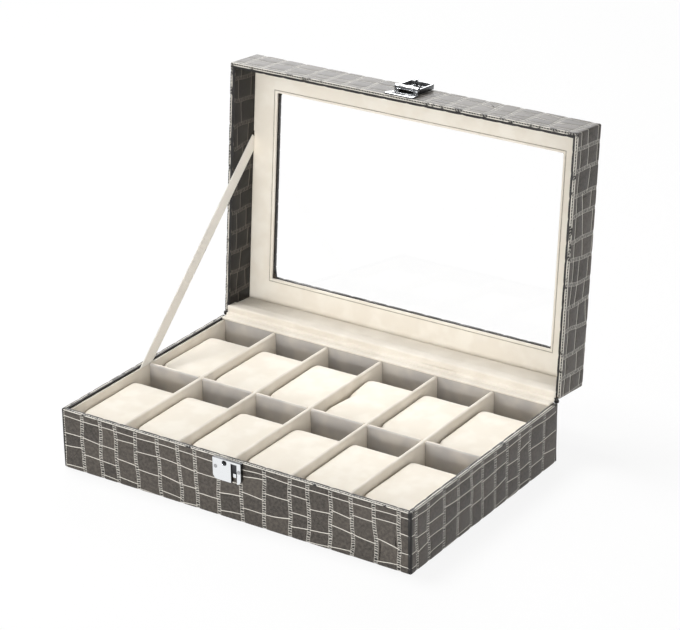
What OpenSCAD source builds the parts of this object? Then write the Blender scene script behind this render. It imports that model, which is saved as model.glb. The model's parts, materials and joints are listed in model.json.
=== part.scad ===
// Twelve-place watch box with a window lid, shown standing open on its ribbon stay.
// Millimetres. X runs along the front, Y to the back, Z up. The origin is the middle of the underside.
// Everything that belongs to the lid is drawn shut and then swung open by in_lid().

/* [Box] */
// Outer width, along the front
box_w = 300; // [220:1:400]
// Outer depth, front to back
box_d = 200; // [160:1:260]
// Height of the base, underside to rim
base_h = 47.5; // [44:0.5:70]
// Height of the lid, rim to top
lid_h = 34.5; // [26:0.5:50]
// Gap left between the two rims when the box is shut
rim_gap = 0.3; // [0.2:0.1:1]
// Angle at which the ribbon stay holds the lid
lid_open = 95; // [80:1:105]

/* [Shell] */
// Thickness of the fibreboard walls
board_t = 2.8; // [2:0.1:5]
// Thickness of the leatherette covering
cover_t = 0.6; // [0.4:0.1:1.2]
// Thickness of the floor board of the base
floor_t = 3; // [2:0.1:5]
// Thickness of the felt sheet under the base
felt_t = 1; // [0.8:0.1:2]
// Width of leatherette turned in under the base
turn_in = 8; // [4:1:20]
// Height of the turned-in leatherette above the table
turn_in_lift = 0.4; // [0.2:0.1:0.6]

/* [Linings] */
// Thickness of the velvet-covered lining panels
lining_t = 1.8; // [1:0.1:3]
// How far the base linings stop below the rim
lining_drop = 1.8; // [0.8:0.1:6]
// Thickness of the velvet-covered floor lining
floor_lining_t = 1.5; // [1:0.1:3]
// Thickness of the leatherette lining on the lid's side walls
lid_wrap_t = 0.8; // [0.4:0.1:1.5]
// Clearance round panels that are dropped in
panel_gap = 0.1; // [0.05:0.05:0.3]

/* [Tray] */
// Number of places along the front
columns = 6; // [2:1:8]
// Thickness of the velvet-covered dividers
divider_t = 3.2; // [2:0.1:5]
// How far the dividers stop below the rim
divider_drop = 1.5; // [0.5:0.1:6]
// Clearance in the halved joints of the dividers
joint_gap = 0.15; // [0.1:0.05:0.4]

/* [Cushions] */
// Space left behind each cushion for a fingertip
finger_gap = 10.3; // [6:0.1:20]
// Height of a cushion
cushion_h = 34.7; // [25:0.1:36]
// Radius of a cushion's long rounded edges
cushion_r = 16; // [6:0.5:17]
// Clearance on each end of a cushion
cushion_gap = 0.4; // [0.3:0.1:1.5]
// Clearance under a cushion
cushion_seat_gap = 0.3; // [0.2:0.1:0.6]
// Space in front of a cushion
cushion_front_gap = 2.4; // [0.5:0.1:4]

/* [Lid window] */
// Width of the frame left round the window
window_border = 25; // [16:0.5:60]
// Thickness of the glass
glass_t = 2; // [1.5:0.1:3]
// How far the glass laps behind the window's edge
glass_lap = 8; // [4:0.5:10]
// Clearance round the glass
glass_gap = 0.1; // [0.1:0.05:0.5]
// Thickness of the lid's top board, which the glass is let into
top_board_t = 4.8; // [4:0.1:8]
// Thickness of the velvet-covered frame that holds the glass
inner_frame_t = 2; // [1:0.1:4]

/* [Hinges] */
// Distance of each hinge's middle from the end of the box
hinge_inset = 60; // [25:1:80]
// Length of each hinge
hinge_l = 30; // [16:1:50]
// Radius of the hinge knuckles
knuckle_r = 1.6; // [1.4:0.1:2.5]
// Radius of the hinge pins
hinge_pin_r = 0.8; // [0.5:0.05:0.9]
// Thickness of the hinge leaves
leaf_t = 0.8; // [0.5:0.1:1]
// Height of the part of a leaf that is screwed to the wall
leaf_h = 14; // [10:1:20]
// Clearance between a knuckle and the wall behind the box
knuckle_gap = 0.1; // [0.1:0.05:0.5]
// Running clearance of a pin in a moving knuckle
pin_fit = 0.05; // [0.02:0.01:0.1]
// Gap between neighbouring knuckles, and round a leaf in its recess
leaf_gap = 0.1; // [0.05:0.05:0.2]
// Radius of the hinge screws
screw_r = 1; // [0.6:0.1:1.2]
// Radius of the screw heads
screw_head_r = 1.7; // [1.4:0.1:2]
// Length of the hinge screws
screw_l = 2.6; // [2:0.1:2.8]

/* [Ribbon stay] */
// Width of the ribbon
ribbon_w = 10.5; // [6:0.5:16]
// Thickness of the ribbon
ribbon_t = 0.5; // [0.3:0.1:0.5]
// Where the ribbon leaves the base, measured from the middle of its depth
ribbon_base_y = -5; // [-40:1:20]
// Distance from the hinge line to where the ribbon joins the lid
ribbon_lid_reach = 135; // [60:1:150]
// Depth to which the ribbon is tucked into the base lining
ribbon_tail = 12; // [6:1:20]
// Clearance of the ribbon in its slit and notch
ribbon_gap = 0.1; // [0.05:0.05:0.2]

/* [Catch] */
// Width of the catch case and of the hasp plate
catch_w = 24; // [23:0.5:30]
// Height of the catch case
case_h = 16.5; // [16:0.5:20]
// How far the catch case stands out from the front
case_out = 2.8; // [2.6:0.1:4]
// Thickness of the pressed sheet of the catch
sheet_t = 0.8; // [0.6:0.1:1]
// How far the catch case stops below the rim
case_drop = 0.2; // [0.1:0.1:1]
// Radius of the case's lower corners
case_r = 4; // [2:0.5:5]
// Sideways place of the hole that takes the hook
hook_x = -1.9; // [-4:0.1:-1]
// Clearance between the hook's head and the top wall of the case
hook_room = 0.3; // [0.2:0.1:0.8]
// Radius of the hook hole
hook_hole_r = 2; // [1.8:0.05:2.1]
// Radius of the hook's head
hook_head_r = 1.4; // [1.2:0.05:1.7]
// Radius of the hook's neck
hook_neck_r = 0.8; // [0.6:0.05:1]
// Left edge of the slot for the thumb slide
slot_x = 3.6; // [2:0.1:5]
// Width of the slot for the thumb slide
slot_w = 5.1; // [4:0.1:5.5]
// Travel of the thumb slide
slide_travel = 4; // [3:0.5:4.2]
// Running clearance of the thumb slide
slide_fit = 0.1; // [0.05:0.05:0.2]
// Height of the thumb slide's finger nib
nib_h = 3; // [2:0.5:3.5]
// Thickness of the hasp plate
plate_t = 1; // [0.8:0.1:1.2]
// Width of the hasp
hasp_w = 20; // [18:0.5:22]
// Length of the hasp from its pivot
hasp_l = 21.2; // [19:0.1:21.4]
// Height of the hasp pivot above the lid's rim
pivot_rise = 13; // [11:0.5:16]
// How far the hasp pivot stands out from the front
pivot_out = 3.7; // [3.6:0.1:4.5]
// Radius of the hasp's barrel
barrel_r = 2; // [1.6:0.1:2.2]
// Radius of the hasp's pin
hasp_pin_r = 0.9; // [0.6:0.05:1]
// Width of the hasp's barrel between the ears
barrel_l = 12; // [8:0.5:13]
// Clearance between the hasp and what it folds onto
hasp_gap = 0.3; // [0.3:0.05:0.6]
// Gap between the lid's front and the hasp folded back on it
fold_gap = 0.4; // [0.3:0.05:0.6]
// Radius of the rivets' shanks
rivet_r = 0.7; // [0.5:0.05:0.8]
// Radius of the rivets' heads
rivet_head_r = 1.4; // [1.1:0.05:1.5]
// Height of the rivets' heads
rivet_head_t = 0.5; // [0.3:0.05:0.6]
// How far the case's sunk rivet heads stand out from its face
rivet_proud = 0.1; // [0:0.05:0.15]

/* [Hidden] */
$fn = 48;
// Overlap of cutting tools past the faces they cut
eps = 0.5;
// Clearance of a shank in the board that holds it
shank_fit = 0.02;
// Wall from the outside to the boards' inner faces, and on to the linings' faces
shell_t = cover_t + board_t;
board_x = box_w / 2 - cover_t;
board_y = box_d / 2 - cover_t;
core_x = box_w / 2 - shell_t;
core_y = box_d / 2 - shell_t;
room_x = core_x - lining_t;
room_y = core_y - lining_t;
// Levels in the base
floor_z = felt_t + floor_t;
tray_z = floor_z + floor_lining_t;
rim_board_z = base_h - cover_t;
lining_z = base_h - lining_drop;
divider_z = base_h - divider_drop;
half_lap_z = (tray_z + divider_z) / 2;
// Levels in the lid, drawn shut
lid_z = base_h + rim_gap;
lid_board_z = lid_z + cover_t;
lid_top_z = lid_z + lid_h;
top_board_z = lid_top_z - cover_t - top_board_t;
inner_frame_z = top_board_z - inner_frame_t;
lid_room_x = core_x - lid_wrap_t;
lid_room_y = core_y - lid_wrap_t;
// Lid window
window_x = box_w / 2 - window_border;
window_y = box_d / 2 - window_border;
glass_x = window_x + glass_lap;
glass_y = window_y + glass_lap;
// Tray spacing
cell_w = (2 * room_x - (columns - 1) * divider_t) / columns;
cell_d = room_y - divider_t / 2;
pitch = cell_w + divider_t;
cushion_w = cell_w - 2 * cushion_gap;
cushion_l = cell_d - cushion_front_gap - finger_gap;
cushion_z = tray_z + cushion_seat_gap;
row_front_y = [-room_y + cushion_front_gap, divider_t / 2 + cushion_front_gap];
// Hinge line
hinge_x = box_w / 2 - hinge_inset;
axis_y = box_d / 2 + knuckle_gap + knuckle_r;
axis_z = base_h + rim_gap / 2;
side_knuckle_l = (hinge_l - 2 * leaf_gap) / 3;
screw_spread = hinge_l * 0.3;
screw_down = leaf_h * 0.64;
// Ribbon stay
ribbon_x = -lid_room_x + ribbon_gap;
ribbon_base_end = [ribbon_base_y, lining_z];
ribbon_lid_end = swung(axis_y - ribbon_lid_reach, inner_frame_z);
// Catch
front_y = -box_d / 2;
case_z = base_h - case_drop - case_h;
case_top_z = base_h - case_drop;
case_face_y = front_y - case_out;
case_in_y = case_face_y + sheet_t;
hook_z = case_top_z - sheet_t - hook_room - hook_head_r;
slot_top_z = case_top_z - 1.5;
slide_face_y = case_in_y + slide_fit;
slide_back_y = slide_face_y + sheet_t;
slide_left_x = hook_x - 2.7;
slide_right_x = slot_x + slot_w - slide_fit;
slide_z = case_z + sheet_t + slide_travel + 0.6;
slide_top_z = case_top_z - sheet_t - slide_fit;
pad_top_z = hook_z - hook_head_r - 1.5;
rib_t = 0.6;
pivot_y = front_y - pivot_out;
pivot_z = lid_z + pivot_rise;
hasp_in_y = case_face_y - hasp_gap;
hasp_out_y = 2 * pivot_y - front_y + fold_gap;
hasp_tip_z = pivot_z - hasp_l;
ear_l = 3.8;
ear_gap = 0.2;
pan_top_z = pivot_z - barrel_r - 0.4;
plate_z = lid_z + 1;
plate_top_z = pan_top_z - 0.1;
case_rivets = [[-9.6, case_z + 9.9], [10.4, case_z + 9.9]];
plate_rivets = [[-7, lid_z + 5.7], [7, lid_z + 5.7]];
spring_wire_r = 0.2;
spring_r = 0.65;
spring_turns = 6;
spring_x = -0.8;

// Colours
LEATHERETTE = [0.43, 0.40, 0.37];
VELVET = [0.96, 0.92, 0.85];
BOARD = [0.62, 0.47, 0.31];
FELT = [0.12, 0.12, 0.12];
CHROME = [0.85, 0.86, 0.88];
STEEL = [0.55, 0.55, 0.56];
GLASS = [0.80, 0.90, 0.95, 0.35];

// ---- Helpers ----

// A block from one corner to the opposite one
module block(from, to) {
    translate(from)
        cube(to - from);
}

// A block whose X and Y run from -x to x and from -y to y
module slab(x, y, z_from, z_to) {
    block([-x, -y, z_from], [x, y, z_to]);
}

// A cylinder along X between two places
module bar_x(r, x_from, x_to, y, z) {
    translate([x_from, y, z])
        rotate([0, 90, 0])
            cylinder(r = r, h = x_to - x_from);
}

// A cylinder along Y between two places
module bar_y(r, x, y_from, y_to, z) {
    translate([x, y_from, z])
        rotate([-90, 0, 0])
            cylinder(r = r, h = y_to - y_from);
}

// Where a point of the shut lid goes when the lid is open
function swung(y, z) = [
    axis_y + (y - axis_y) * cos(lid_open) + (z - axis_z) * sin(lid_open),
    axis_z - (y - axis_y) * sin(lid_open) + (z - axis_z) * cos(lid_open)
];

// Carries what is drawn shut to the open lid
module in_lid() {
    translate([0, axis_y, axis_z])
        rotate([-lid_open, 0, 0])
            translate([0, -axis_y, -axis_z])
                children();
}

// Carries what is drawn fastened to the hasp folded back over the lid
module folded_back() {
    translate([0, pivot_y, pivot_z])
        rotate([-180, 0, 0])
            translate([0, -pivot_y, -pivot_z])
                children();
}

// ---- Base ----

module base_floor_board() {
    color(BOARD)
        slab(core_x, core_y, felt_t, floor_z);
}

module base_front_board() {
    color(BOARD)
        difference() {
            block([-board_x, -board_y, felt_t], [board_x, -core_y, rim_board_z]);
            catch_rivet_holes();
        }
}

module base_back_board() {
    color(BOARD)
        difference() {
            block([-board_x, core_y, felt_t], [board_x, board_y, rim_board_z]);
            for (side = [-1, 1]) {
                base_leaf_recess(side);
                base_screw_holes(side);
            }
        }
}

module base_side_board(side) {
    color(BOARD)
        mirror([side < 0 ? 1 : 0, 0, 0])
            block([core_x, -core_y, felt_t], [board_x, core_y, rim_board_z]);
}

// Leatherette over the four outer faces and the rim, turned in below and down to the linings
module base_cover() {
    color(LEATHERETTE)
        difference() {
            slab(box_w / 2, box_d / 2, turn_in_lift, base_h);
            slab(board_x, board_y, felt_t, rim_board_z);
            slab(core_x, core_y, felt_t, lining_z);
            slab(core_x - cover_t, core_y - cover_t, felt_t, base_h + eps);
            slab(box_w / 2 - turn_in, box_d / 2 - turn_in, 0, floor_z);
            block([-core_x, room_y, lining_z - eps], [core_x, core_y + eps, base_h + eps]);
            block([-core_x, core_y, rim_board_z], [core_x, box_d / 2 + eps, base_h + eps]);
            catch_rivet_holes();
            for (side = [-1, 1])
                base_leaf_recess(side);
        }
}

module underside_felt() {
    color(FELT)
        slab(box_w / 2 - turn_in - panel_gap, box_d / 2 - turn_in - panel_gap, 0, felt_t);
}

module base_front_lining() {
    color(VELVET)
        block([-room_x, -core_y, floor_z], [room_x, -room_y, lining_z]);
}

// The back lining runs up under the hinge strip
module base_back_lining() {
    color(VELVET)
        block([-room_x, room_y, floor_z], [room_x, core_y, rim_board_z]);
}

module base_right_lining() {
    color(VELVET)
        block([room_x, -core_y, floor_z], [core_x, core_y, lining_z]);
}

// The left lining has a slit for the ribbon's tail
module base_left_lining() {
    color(VELVET)
        difference() {
            block([-core_x, -core_y, floor_z], [-room_x, core_y, lining_z]);
            intersection() {
                ribbon_band(ribbon_gap);
                slab(box_w, box_d, lining_z - ribbon_tail, base_h);
            }
        }
}

module floor_lining() {
    color(VELVET)
        slab(room_x, room_y, floor_z, tray_z);
}

// Outline of a divider across its thickness, with a rounded top
module divider_outline() {
    round_z = divider_z - divider_t / 2;
    translate([-divider_t / 2, tray_z])
        square([divider_t, round_z - tray_z]);
    translate([0, round_z])
        circle(d = divider_t);
}

// Divider along X, halved from above where the cross dividers pass
module long_divider() {
    notch = divider_t / 2 + joint_gap;
    length = 2 * (room_x - panel_gap);
    color(VELVET)
        difference() {
            translate([-length / 2, 0, 0])
                rotate([90, 0, 90])
                    linear_extrude(length)
                        divider_outline();
            for (i = [1 : columns - 1])
                translate([divider_x(i), 0, 0])
                    block([-notch, -divider_t, half_lap_z - joint_gap], [notch, divider_t, base_h]);
        }
}

function divider_x(i) = -room_x + i * pitch - divider_t / 2;

// Divider along Y, halved from below where it passes the long divider
module cross_divider(i) {
    notch = divider_t / 2 + joint_gap;
    length = 2 * (room_y - panel_gap);
    color(VELVET)
        translate([divider_x(i), 0, 0])
            difference() {
                translate([0, length / 2, 0])
                    rotate([90, 0, 0])
                        linear_extrude(length)
                            divider_outline();
                block([-divider_t, -notch, 0], [divider_t, notch, half_lap_z + joint_gap]);
            }
}

// ---- Cushions ----

// Side outline of a cushion, a rectangle with round corners
module cushion_outline() {
    r = min(cushion_r, cushion_h * 0.48, cushion_l * 0.48);
    translate([r, 0])
        square([cushion_l - 2 * r, cushion_h]);
    translate([0, r])
        square([cushion_l, cushion_h - 2 * r]);
    for (y = [r, cushion_l - r], z = [r, cushion_h - r])
        translate([y, z])
            circle(r = r);
}

module cushion(row, column) {
    x = -room_x + (column - 1) * pitch + cushion_gap;
    color(VELVET)
        translate([x, row_front_y[row], cushion_z])
            rotate([90, 0, 90])
                linear_extrude(cushion_w)
                    cushion_outline();
}

// ---- Lid ----

module lid_front_board() {
    color(BOARD)
        in_lid()
            difference() {
                block([-board_x, -board_y, lid_board_z], [board_x, -core_y, top_board_z]);
                hasp_rivet_holes();
            }
}

module lid_back_board() {
    color(BOARD)
        in_lid()
            difference() {
                block([-board_x, core_y, lid_board_z], [board_x, board_y, top_board_z]);
                for (side = [-1, 1]) {
                    lid_leaf_recess(side);
                    lid_screw_holes(side);
                }
            }
}

module lid_side_board(side) {
    color(BOARD)
        in_lid()
            mirror([side < 0 ? 1 : 0, 0, 0])
                block([core_x, -core_y, lid_board_z], [board_x, core_y, top_board_z]);
}

// Top board with the window and a rebate for the glass
module lid_top_board() {
    color(BOARD)
        in_lid()
            difference() {
                slab(board_x, board_y, top_board_z, lid_top_z - cover_t);
                slab(window_x + cover_t, window_y + cover_t, top_board_z - eps, lid_top_z + eps);
                slab(glass_x + glass_gap, glass_y + glass_gap,
                     top_board_z - eps, top_board_z + glass_t + glass_gap);
            }
}

// Leatherette over the top, the four outer faces, the rim and the window's edge
module lid_cover() {
    color(LEATHERETTE)
        in_lid()
            difference() {
                slab(box_w / 2, box_d / 2, lid_z, lid_top_z);
                difference() {
                    slab(board_x, board_y, lid_board_z, lid_top_z - cover_t);
                    slab(window_x + cover_t, window_y + cover_t,
                         top_board_z + glass_t + glass_gap, lid_top_z);
                }
                slab(window_x, window_y, lid_board_z, lid_top_z + eps);
                slab(core_x, core_y, lid_z - eps, lid_board_z + eps);
                block([-core_x, core_y - eps, lid_z - eps], [core_x, box_d / 2 + eps, lid_board_z]);
                hasp_rivet_holes();
                for (side = [-1, 1])
                    lid_leaf_recess(side);
            }
}

module lid_back_lining() {
    color(VELVET)
        in_lid()
            block([-lid_room_x + panel_gap, room_y, lid_board_z],
                  [lid_room_x - panel_gap, core_y, inner_frame_z]);
}

// Leatherette lining on the left, front and right walls of the lid
module lid_side_lining() {
    color(LEATHERETTE)
        in_lid()
            difference() {
                slab(core_x, core_y, lid_board_z, top_board_z);
                block([-lid_room_x, -lid_room_y, lid_z], [lid_room_x, box_d / 2, lid_top_z]);
            }
}

module glass_pane() {
    color(GLASS)
        in_lid()
            slab(glass_x, glass_y, top_board_z, top_board_z + glass_t);
}

// Velvet-covered frame under the glass, notched for the ribbon's end
module lid_inner_frame() {
    color(VELVET)
        difference() {
            in_lid()
                difference() {
                    block([-lid_room_x + panel_gap, -lid_room_y + panel_gap, inner_frame_z],
                          [lid_room_x - panel_gap, core_y - panel_gap, top_board_z]);
                    slab(window_x, window_y, inner_frame_z - eps, top_board_z + eps);
                }
            ribbon_band(ribbon_gap);
        }
}

// ---- Hinges ----

// Velvet over the base's back rim
module hinge_strip_base() {
    color(VELVET)
        block([-core_x + panel_gap, room_y, rim_board_z], [core_x - panel_gap, box_d / 2, base_h]);
}

// Velvet over the lid's back rim
module hinge_strip_lid() {
    color(VELVET)
        in_lid()
            block([-core_x + panel_gap, room_y, lid_z], [core_x - panel_gap, box_d / 2, lid_board_z]);
}

// Recess for a leaf that lies under the base's rim and down its inner face
module base_leaf_recess(side) {
    x = side * hinge_x;
    half = hinge_l / 2 + leaf_gap;
    low_z = axis_z - knuckle_r - leaf_gap;
    block([x - half, core_y - eps, low_z], [x + half, box_d / 2 + eps, base_h]);
    block([x - half, core_y - eps, low_z + leaf_t - leaf_h], [x + half, core_y + leaf_t + leaf_gap, base_h]);
}

module lid_leaf_recess(side) {
    translate([0, 0, axis_z])
        mirror([0, 0, 1])
            translate([0, 0, -axis_z])
                base_leaf_recess(side);
}

// Knuckles on the hinge line, with the tongue of leaf that rolls into each
module base_knuckles(x) {
    for (end = [-1, 1]) {
        x_from = end < 0 ? x - hinge_l / 2 : x + hinge_l / 2 - side_knuckle_l;
        bar_x(knuckle_r, x_from, x_from + side_knuckle_l, axis_y, axis_z);
        block([x_from, board_y, axis_z - knuckle_r],
              [x_from + side_knuckle_l, axis_y, axis_z - knuckle_r + leaf_t]);
    }
}

module middle_knuckle(x) {
    half = side_knuckle_l / 2;
    bar_x(knuckle_r, x - half, x + half, axis_y, axis_z);
    block([x - half, board_y, axis_z + knuckle_r - leaf_t], [x + half, axis_y, axis_z + knuckle_r]);
}

// Base leaf: under the rim, then down the inner face of the back wall
module base_leaf(side) {
    x = side * hinge_x;
    top_z = axis_z - knuckle_r + leaf_t;
    color(STEEL)
        difference() {
            union() {
                block([x - hinge_l / 2, core_y, axis_z - knuckle_r], [x + hinge_l / 2, board_y, top_z]);
                block([x - hinge_l / 2, core_y, top_z - leaf_h], [x + hinge_l / 2, core_y + leaf_t, top_z]);
                base_knuckles(x);
            }
            bar_x(hinge_pin_r + shank_fit, x - hinge_l, x + hinge_l, axis_y, axis_z);
            base_screw_holes(side);
        }
}

// Lid leaf: the same, mirrored in the hinge line, with the middle knuckle
module lid_leaf(side) {
    x = side * hinge_x;
    low_z = axis_z + knuckle_r - leaf_t;
    color(STEEL)
        in_lid()
            difference() {
                union() {
                    block([x - hinge_l / 2, core_y, low_z], [x + hinge_l / 2, board_y, axis_z + knuckle_r]);
                    block([x - hinge_l / 2, core_y, low_z],
                          [x + hinge_l / 2, core_y + leaf_t, low_z + leaf_h]);
                    middle_knuckle(x);
                }
                bar_x(hinge_pin_r + pin_fit, x - hinge_l, x + hinge_l, axis_y, axis_z);
                lid_screw_holes(side);
            }
}

module hinge_pin(side) {
    color(STEEL)
        bar_x(hinge_pin_r, side * hinge_x - hinge_l / 2, side * hinge_x + hinge_l / 2, axis_y, axis_z);
}

// Places of the two screws of one leaf
function screw_x(side, end) = side * hinge_x + end * screw_spread;
function base_screw_z() = axis_z - knuckle_r + leaf_t - screw_down;

// A countersunk screw that points to the back
module screw_shape(x, z, grow) {
    head_t = leaf_t * 0.8;
    bar_y(screw_r + grow, x, core_y, core_y + screw_l + grow, z);
    translate([x, core_y, z])
        rotate([-90, 0, 0])
            cylinder(r1 = screw_head_r + grow, r2 = screw_r + grow, h = head_t);
}

module base_screw_holes(side) {
    for (end = [-1, 1])
        screw_shape(screw_x(side, end), base_screw_z(), shank_fit);
}

module lid_screw_holes(side) {
    for (end = [-1, 1])
        screw_shape(screw_x(side, end), 2 * axis_z - base_screw_z(), shank_fit);
}

module hinge_base_screws() {
    color(STEEL)
        for (side = [-1, 1], end = [-1, 1])
            screw_shape(screw_x(side, end), base_screw_z(), 0);
}

module hinge_lid_screws() {
    color(STEEL)
        in_lid()
            for (side = [-1, 1], end = [-1, 1])
                screw_shape(screw_x(side, end), 2 * axis_z - base_screw_z(), 0);
}

// ---- Ribbon stay ----

// The taut ribbon runs straight through a slit in the base lining to a notch in the lid's inner frame.
// Its outline grows by the given clearance to cut the slit and the notch.
module ribbon_band(grow) {
    along = (ribbon_lid_end - ribbon_base_end) / norm(ribbon_lid_end - ribbon_base_end);
    across = [-along[1], along[0]] * (ribbon_w / 2 + grow);
    spare = 2 * ribbon_w;
    low = ribbon_base_end - spare * along;
    high = ribbon_lid_end + spare * along;
    translate([ribbon_x - grow, 0, 0])
        rotate([90, 0, 90])
            linear_extrude(ribbon_t + 2 * grow)
                polygon([low - across, high - across, high + across, low + across]);
}

module ribbon_stay() {
    color(VELVET)
        intersection() {
            ribbon_band(0);
            block([-box_w, -box_d, lining_z - ribbon_tail + ribbon_gap], [box_w, 2 * box_d, box_w]);
            in_lid()
                block([-box_w, -box_d, -box_w], [box_w, 2 * box_d, top_board_z - ribbon_gap]);
        }
}

// ---- Catch ----

// Front outline of the catch case, square above and round below
module case_outline(inset) {
    half = catch_w / 2 - inset;
    r = case_r - inset;
    bottom = case_z + inset;
    top = case_top_z - inset;
    translate([-half, bottom + r])
        square([2 * half, top - bottom - r]);
    translate([-half + r, bottom])
        square([2 * half - 2 * r, r + eps]);
    for (x = [-half + r, half - r])
        translate([x, bottom + r])
            circle(r = r);
}

// An outline in X and Z, given depth from y_from to y_to
module front_plate(y_from, y_to) {
    translate([0, y_to, 0])
        rotate([90, 0, 0])
            linear_extrude(y_to - y_from)
                children();
}

// Pressed case on the base, with a hole for the hook and a slot for the thumb slide
module catch_case() {
    slot_right_x = slot_x + slot_w;
    color(CHROME)
        difference() {
            union() {
                difference() {
                    front_plate(case_face_y, front_y)
                        case_outline(0);
                    front_plate(case_in_y, front_y + eps)
                        case_outline(sheet_t);
                }
                block([slide_left_x - slide_fit - rib_t, case_face_y, case_z + sheet_t / 2],
                      [slide_left_x - slide_fit, front_y, case_top_z - sheet_t / 2]);
                block([slot_right_x, case_face_y, case_z + sheet_t / 2],
                      [slot_right_x + rib_t, front_y, case_top_z - sheet_t / 2]);
            }
            block([slot_x, case_face_y - eps, case_z - eps], [slot_right_x, case_in_y + eps, slot_top_z]);
            block([slot_x, case_face_y - eps, case_z - eps], [slot_right_x, front_y + eps, slide_z]);
            bar_y(hook_hole_r, hook_x, case_face_y - eps, case_in_y + eps, hook_z);
            catch_rivet_holes();
            for (place = case_rivets)
                rivet_head(place, case_face_y - rivet_proud, shank_fit);
        }
}

// A rivet with its head on a face, its shank running back into the board
module rivet(place, head_y, grow) {
    bar_y(rivet_r + grow, place[0], head_y, -core_y - 0.8, place[1]);
}

module rivet_head(place, top_y, grow) {
    bar_y(rivet_head_r + grow, place[0], top_y, top_y + rivet_head_t + grow, place[1]);
}

module catch_rivet_holes() {
    for (place = case_rivets)
        rivet(place, case_face_y, shank_fit);
}

module catch_rivets() {
    color(STEEL)
        for (place = case_rivets) {
            rivet(place, case_face_y, 0);
            rivet_head(place, case_face_y - rivet_proud, 0);
        }
}

// Slide behind the case: a fork that holds the hook's neck, a guide pad and a finger nib
module thumb_slide() {
    nib_x = slide_right_x - 2.6;
    notch_r = hook_neck_r + slide_fit;
    color(STEEL)
        difference() {
            union() {
                block([slide_left_x, slide_face_y, slide_z], [slide_right_x, slide_back_y, slide_top_z]);
                block([slide_left_x, slide_face_y, slide_z], [slide_right_x, front_y - slide_fit, pad_top_z]);
                block([nib_x, case_face_y - 0.6, slide_z], [slide_right_x, slide_back_y, slide_z + nib_h]);
            }
            bar_y(notch_r, hook_x, slide_face_y - eps, front_y, hook_z);
            block([hook_x - notch_r, slide_face_y - eps, hook_z], [hook_x + notch_r, front_y, base_h]);
        }
}

// A closed tube of six sides swept along a list of points
module swept_wire(path, r) {
    sides = 6;
    rings = len(path);
    function ahead(i) = path[min(i + 1, rings - 1)] - path[max(i - 1, 0)];
    function across(i) = let (d = ahead(i)) [d[1], -d[0], 0] / norm([d[0], d[1]]);
    function up(i) = let (d = ahead(i), c = cross(across(i), d)) c / norm(c);
    points = [for (i = [0 : rings - 1], k = [0 : sides - 1])
        path[i] + r * (cos(360 * k / sides) * across(i) + sin(360 * k / sides) * up(i))];
    walls = [for (i = [0 : rings - 2], k = [0 : sides - 1], half = [0, 1])
        let (a = i * sides + k, b = i * sides + (k + 1) % sides)
            half == 0 ? [a, b, b + sides] : [a, b + sides, a + sides]];
    first = [for (k = [sides - 1 : -1 : 0]) k];
    last = [for (k = [0 : sides - 1]) (rings - 1) * sides + k];
    polyhedron(points = points, faces = concat([first], walls, [last]), convexity = 6);
}

// Coil spring that pushes the thumb slide up
module slide_spring() {
    steps = 8;
    low_z = case_z + sheet_t + spring_wire_r + 0.05;
    high_z = slide_z - spring_wire_r - 0.05;
    count = steps * spring_turns;
    path = [for (i = [0 : count])
        [spring_x + spring_r * cos(360 * i / steps),
         (slide_face_y + front_y - slide_fit) / 2 + spring_r * sin(360 * i / steps),
         low_z + (high_z - low_z) * i / count]];
    color(STEEL)
        swept_wire(path, spring_wire_r);
}

// Plate on the lid with two ears for the hasp's pin
module hasp_plate() {
    corner_r = 2;
    color(CHROME)
        in_lid()
            difference() {
                union() {
                    block([-catch_w / 2, front_y - plate_t, plate_z],
                          [catch_w / 2, front_y, plate_top_z - corner_r]);
                    block([-catch_w / 2 + corner_r, front_y - plate_t, plate_top_z - corner_r - eps],
                          [catch_w / 2 - corner_r, front_y, plate_top_z]);
                    for (x = [-catch_w / 2 + corner_r, catch_w / 2 - corner_r])
                        bar_y(corner_r, x, front_y - plate_t, front_y, plate_top_z - corner_r);
                    for (side = [-1, 1])
                        mirror([side < 0 ? 1 : 0, 0, 0])
                            hasp_ear();
                }
                bar_x(hasp_pin_r + shank_fit, -catch_w, catch_w, pivot_y, pivot_z);
                hasp_rivet_holes();
            }
}

module hasp_ear() {
    x_from = barrel_l / 2 + ear_gap;
    x_to = x_from + ear_l;
    web = barrel_r * 0.8;
    block([x_from, front_y - plate_t, plate_top_z - eps], [x_to, front_y, pivot_z + web]);
    block([x_from, pivot_y, pivot_z - web], [x_to, front_y - plate_t / 2, pivot_z + web]);
    bar_x(barrel_r, x_from, x_to, pivot_y, pivot_z);
}

module hasp_rivet_holes() {
    for (place = plate_rivets)
        rivet(place, front_y - plate_t, shank_fit);
}

module hasp_rivets() {
    color(STEEL)
        in_lid()
            for (place = plate_rivets) {
                rivet(place, front_y - plate_t, 0);
                rivet_head(place, front_y - plate_t - rivet_head_t, 0);
            }
}

// Hasp: a pressed pan with a barrel at its pivot and a headed hook inside
module hasp() {
    half = hasp_w / 2;
    floor_y = hasp_out_y + sheet_t;
    head_face_y = slide_back_y + slide_fit;
    color(CHROME)
        in_lid()
            folded_back()
                difference() {
                    union() {
                        difference() {
                            block([-half, hasp_out_y, hasp_tip_z], [half, hasp_in_y, pan_top_z]);
                            block([-half + sheet_t, floor_y, hasp_tip_z + sheet_t],
                                  [half - sheet_t, hasp_in_y + eps, pan_top_z + eps]);
                        }
                        block([-barrel_l / 2, hasp_out_y, pan_top_z - sheet_t],
                              [barrel_l / 2, pivot_y, pivot_z]);
                        bar_x(barrel_r, -barrel_l / 2, barrel_l / 2, pivot_y, pivot_z);
                        bar_y(hook_neck_r, hook_x, hasp_out_y, head_face_y + eps / 2, hook_z);
                        bar_y(hook_head_r, hook_x, head_face_y, front_y - hasp_gap, hook_z);
                    }
                    bar_x(hasp_pin_r + pin_fit, -catch_w, catch_w, pivot_y, pivot_z);
                }
}

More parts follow.
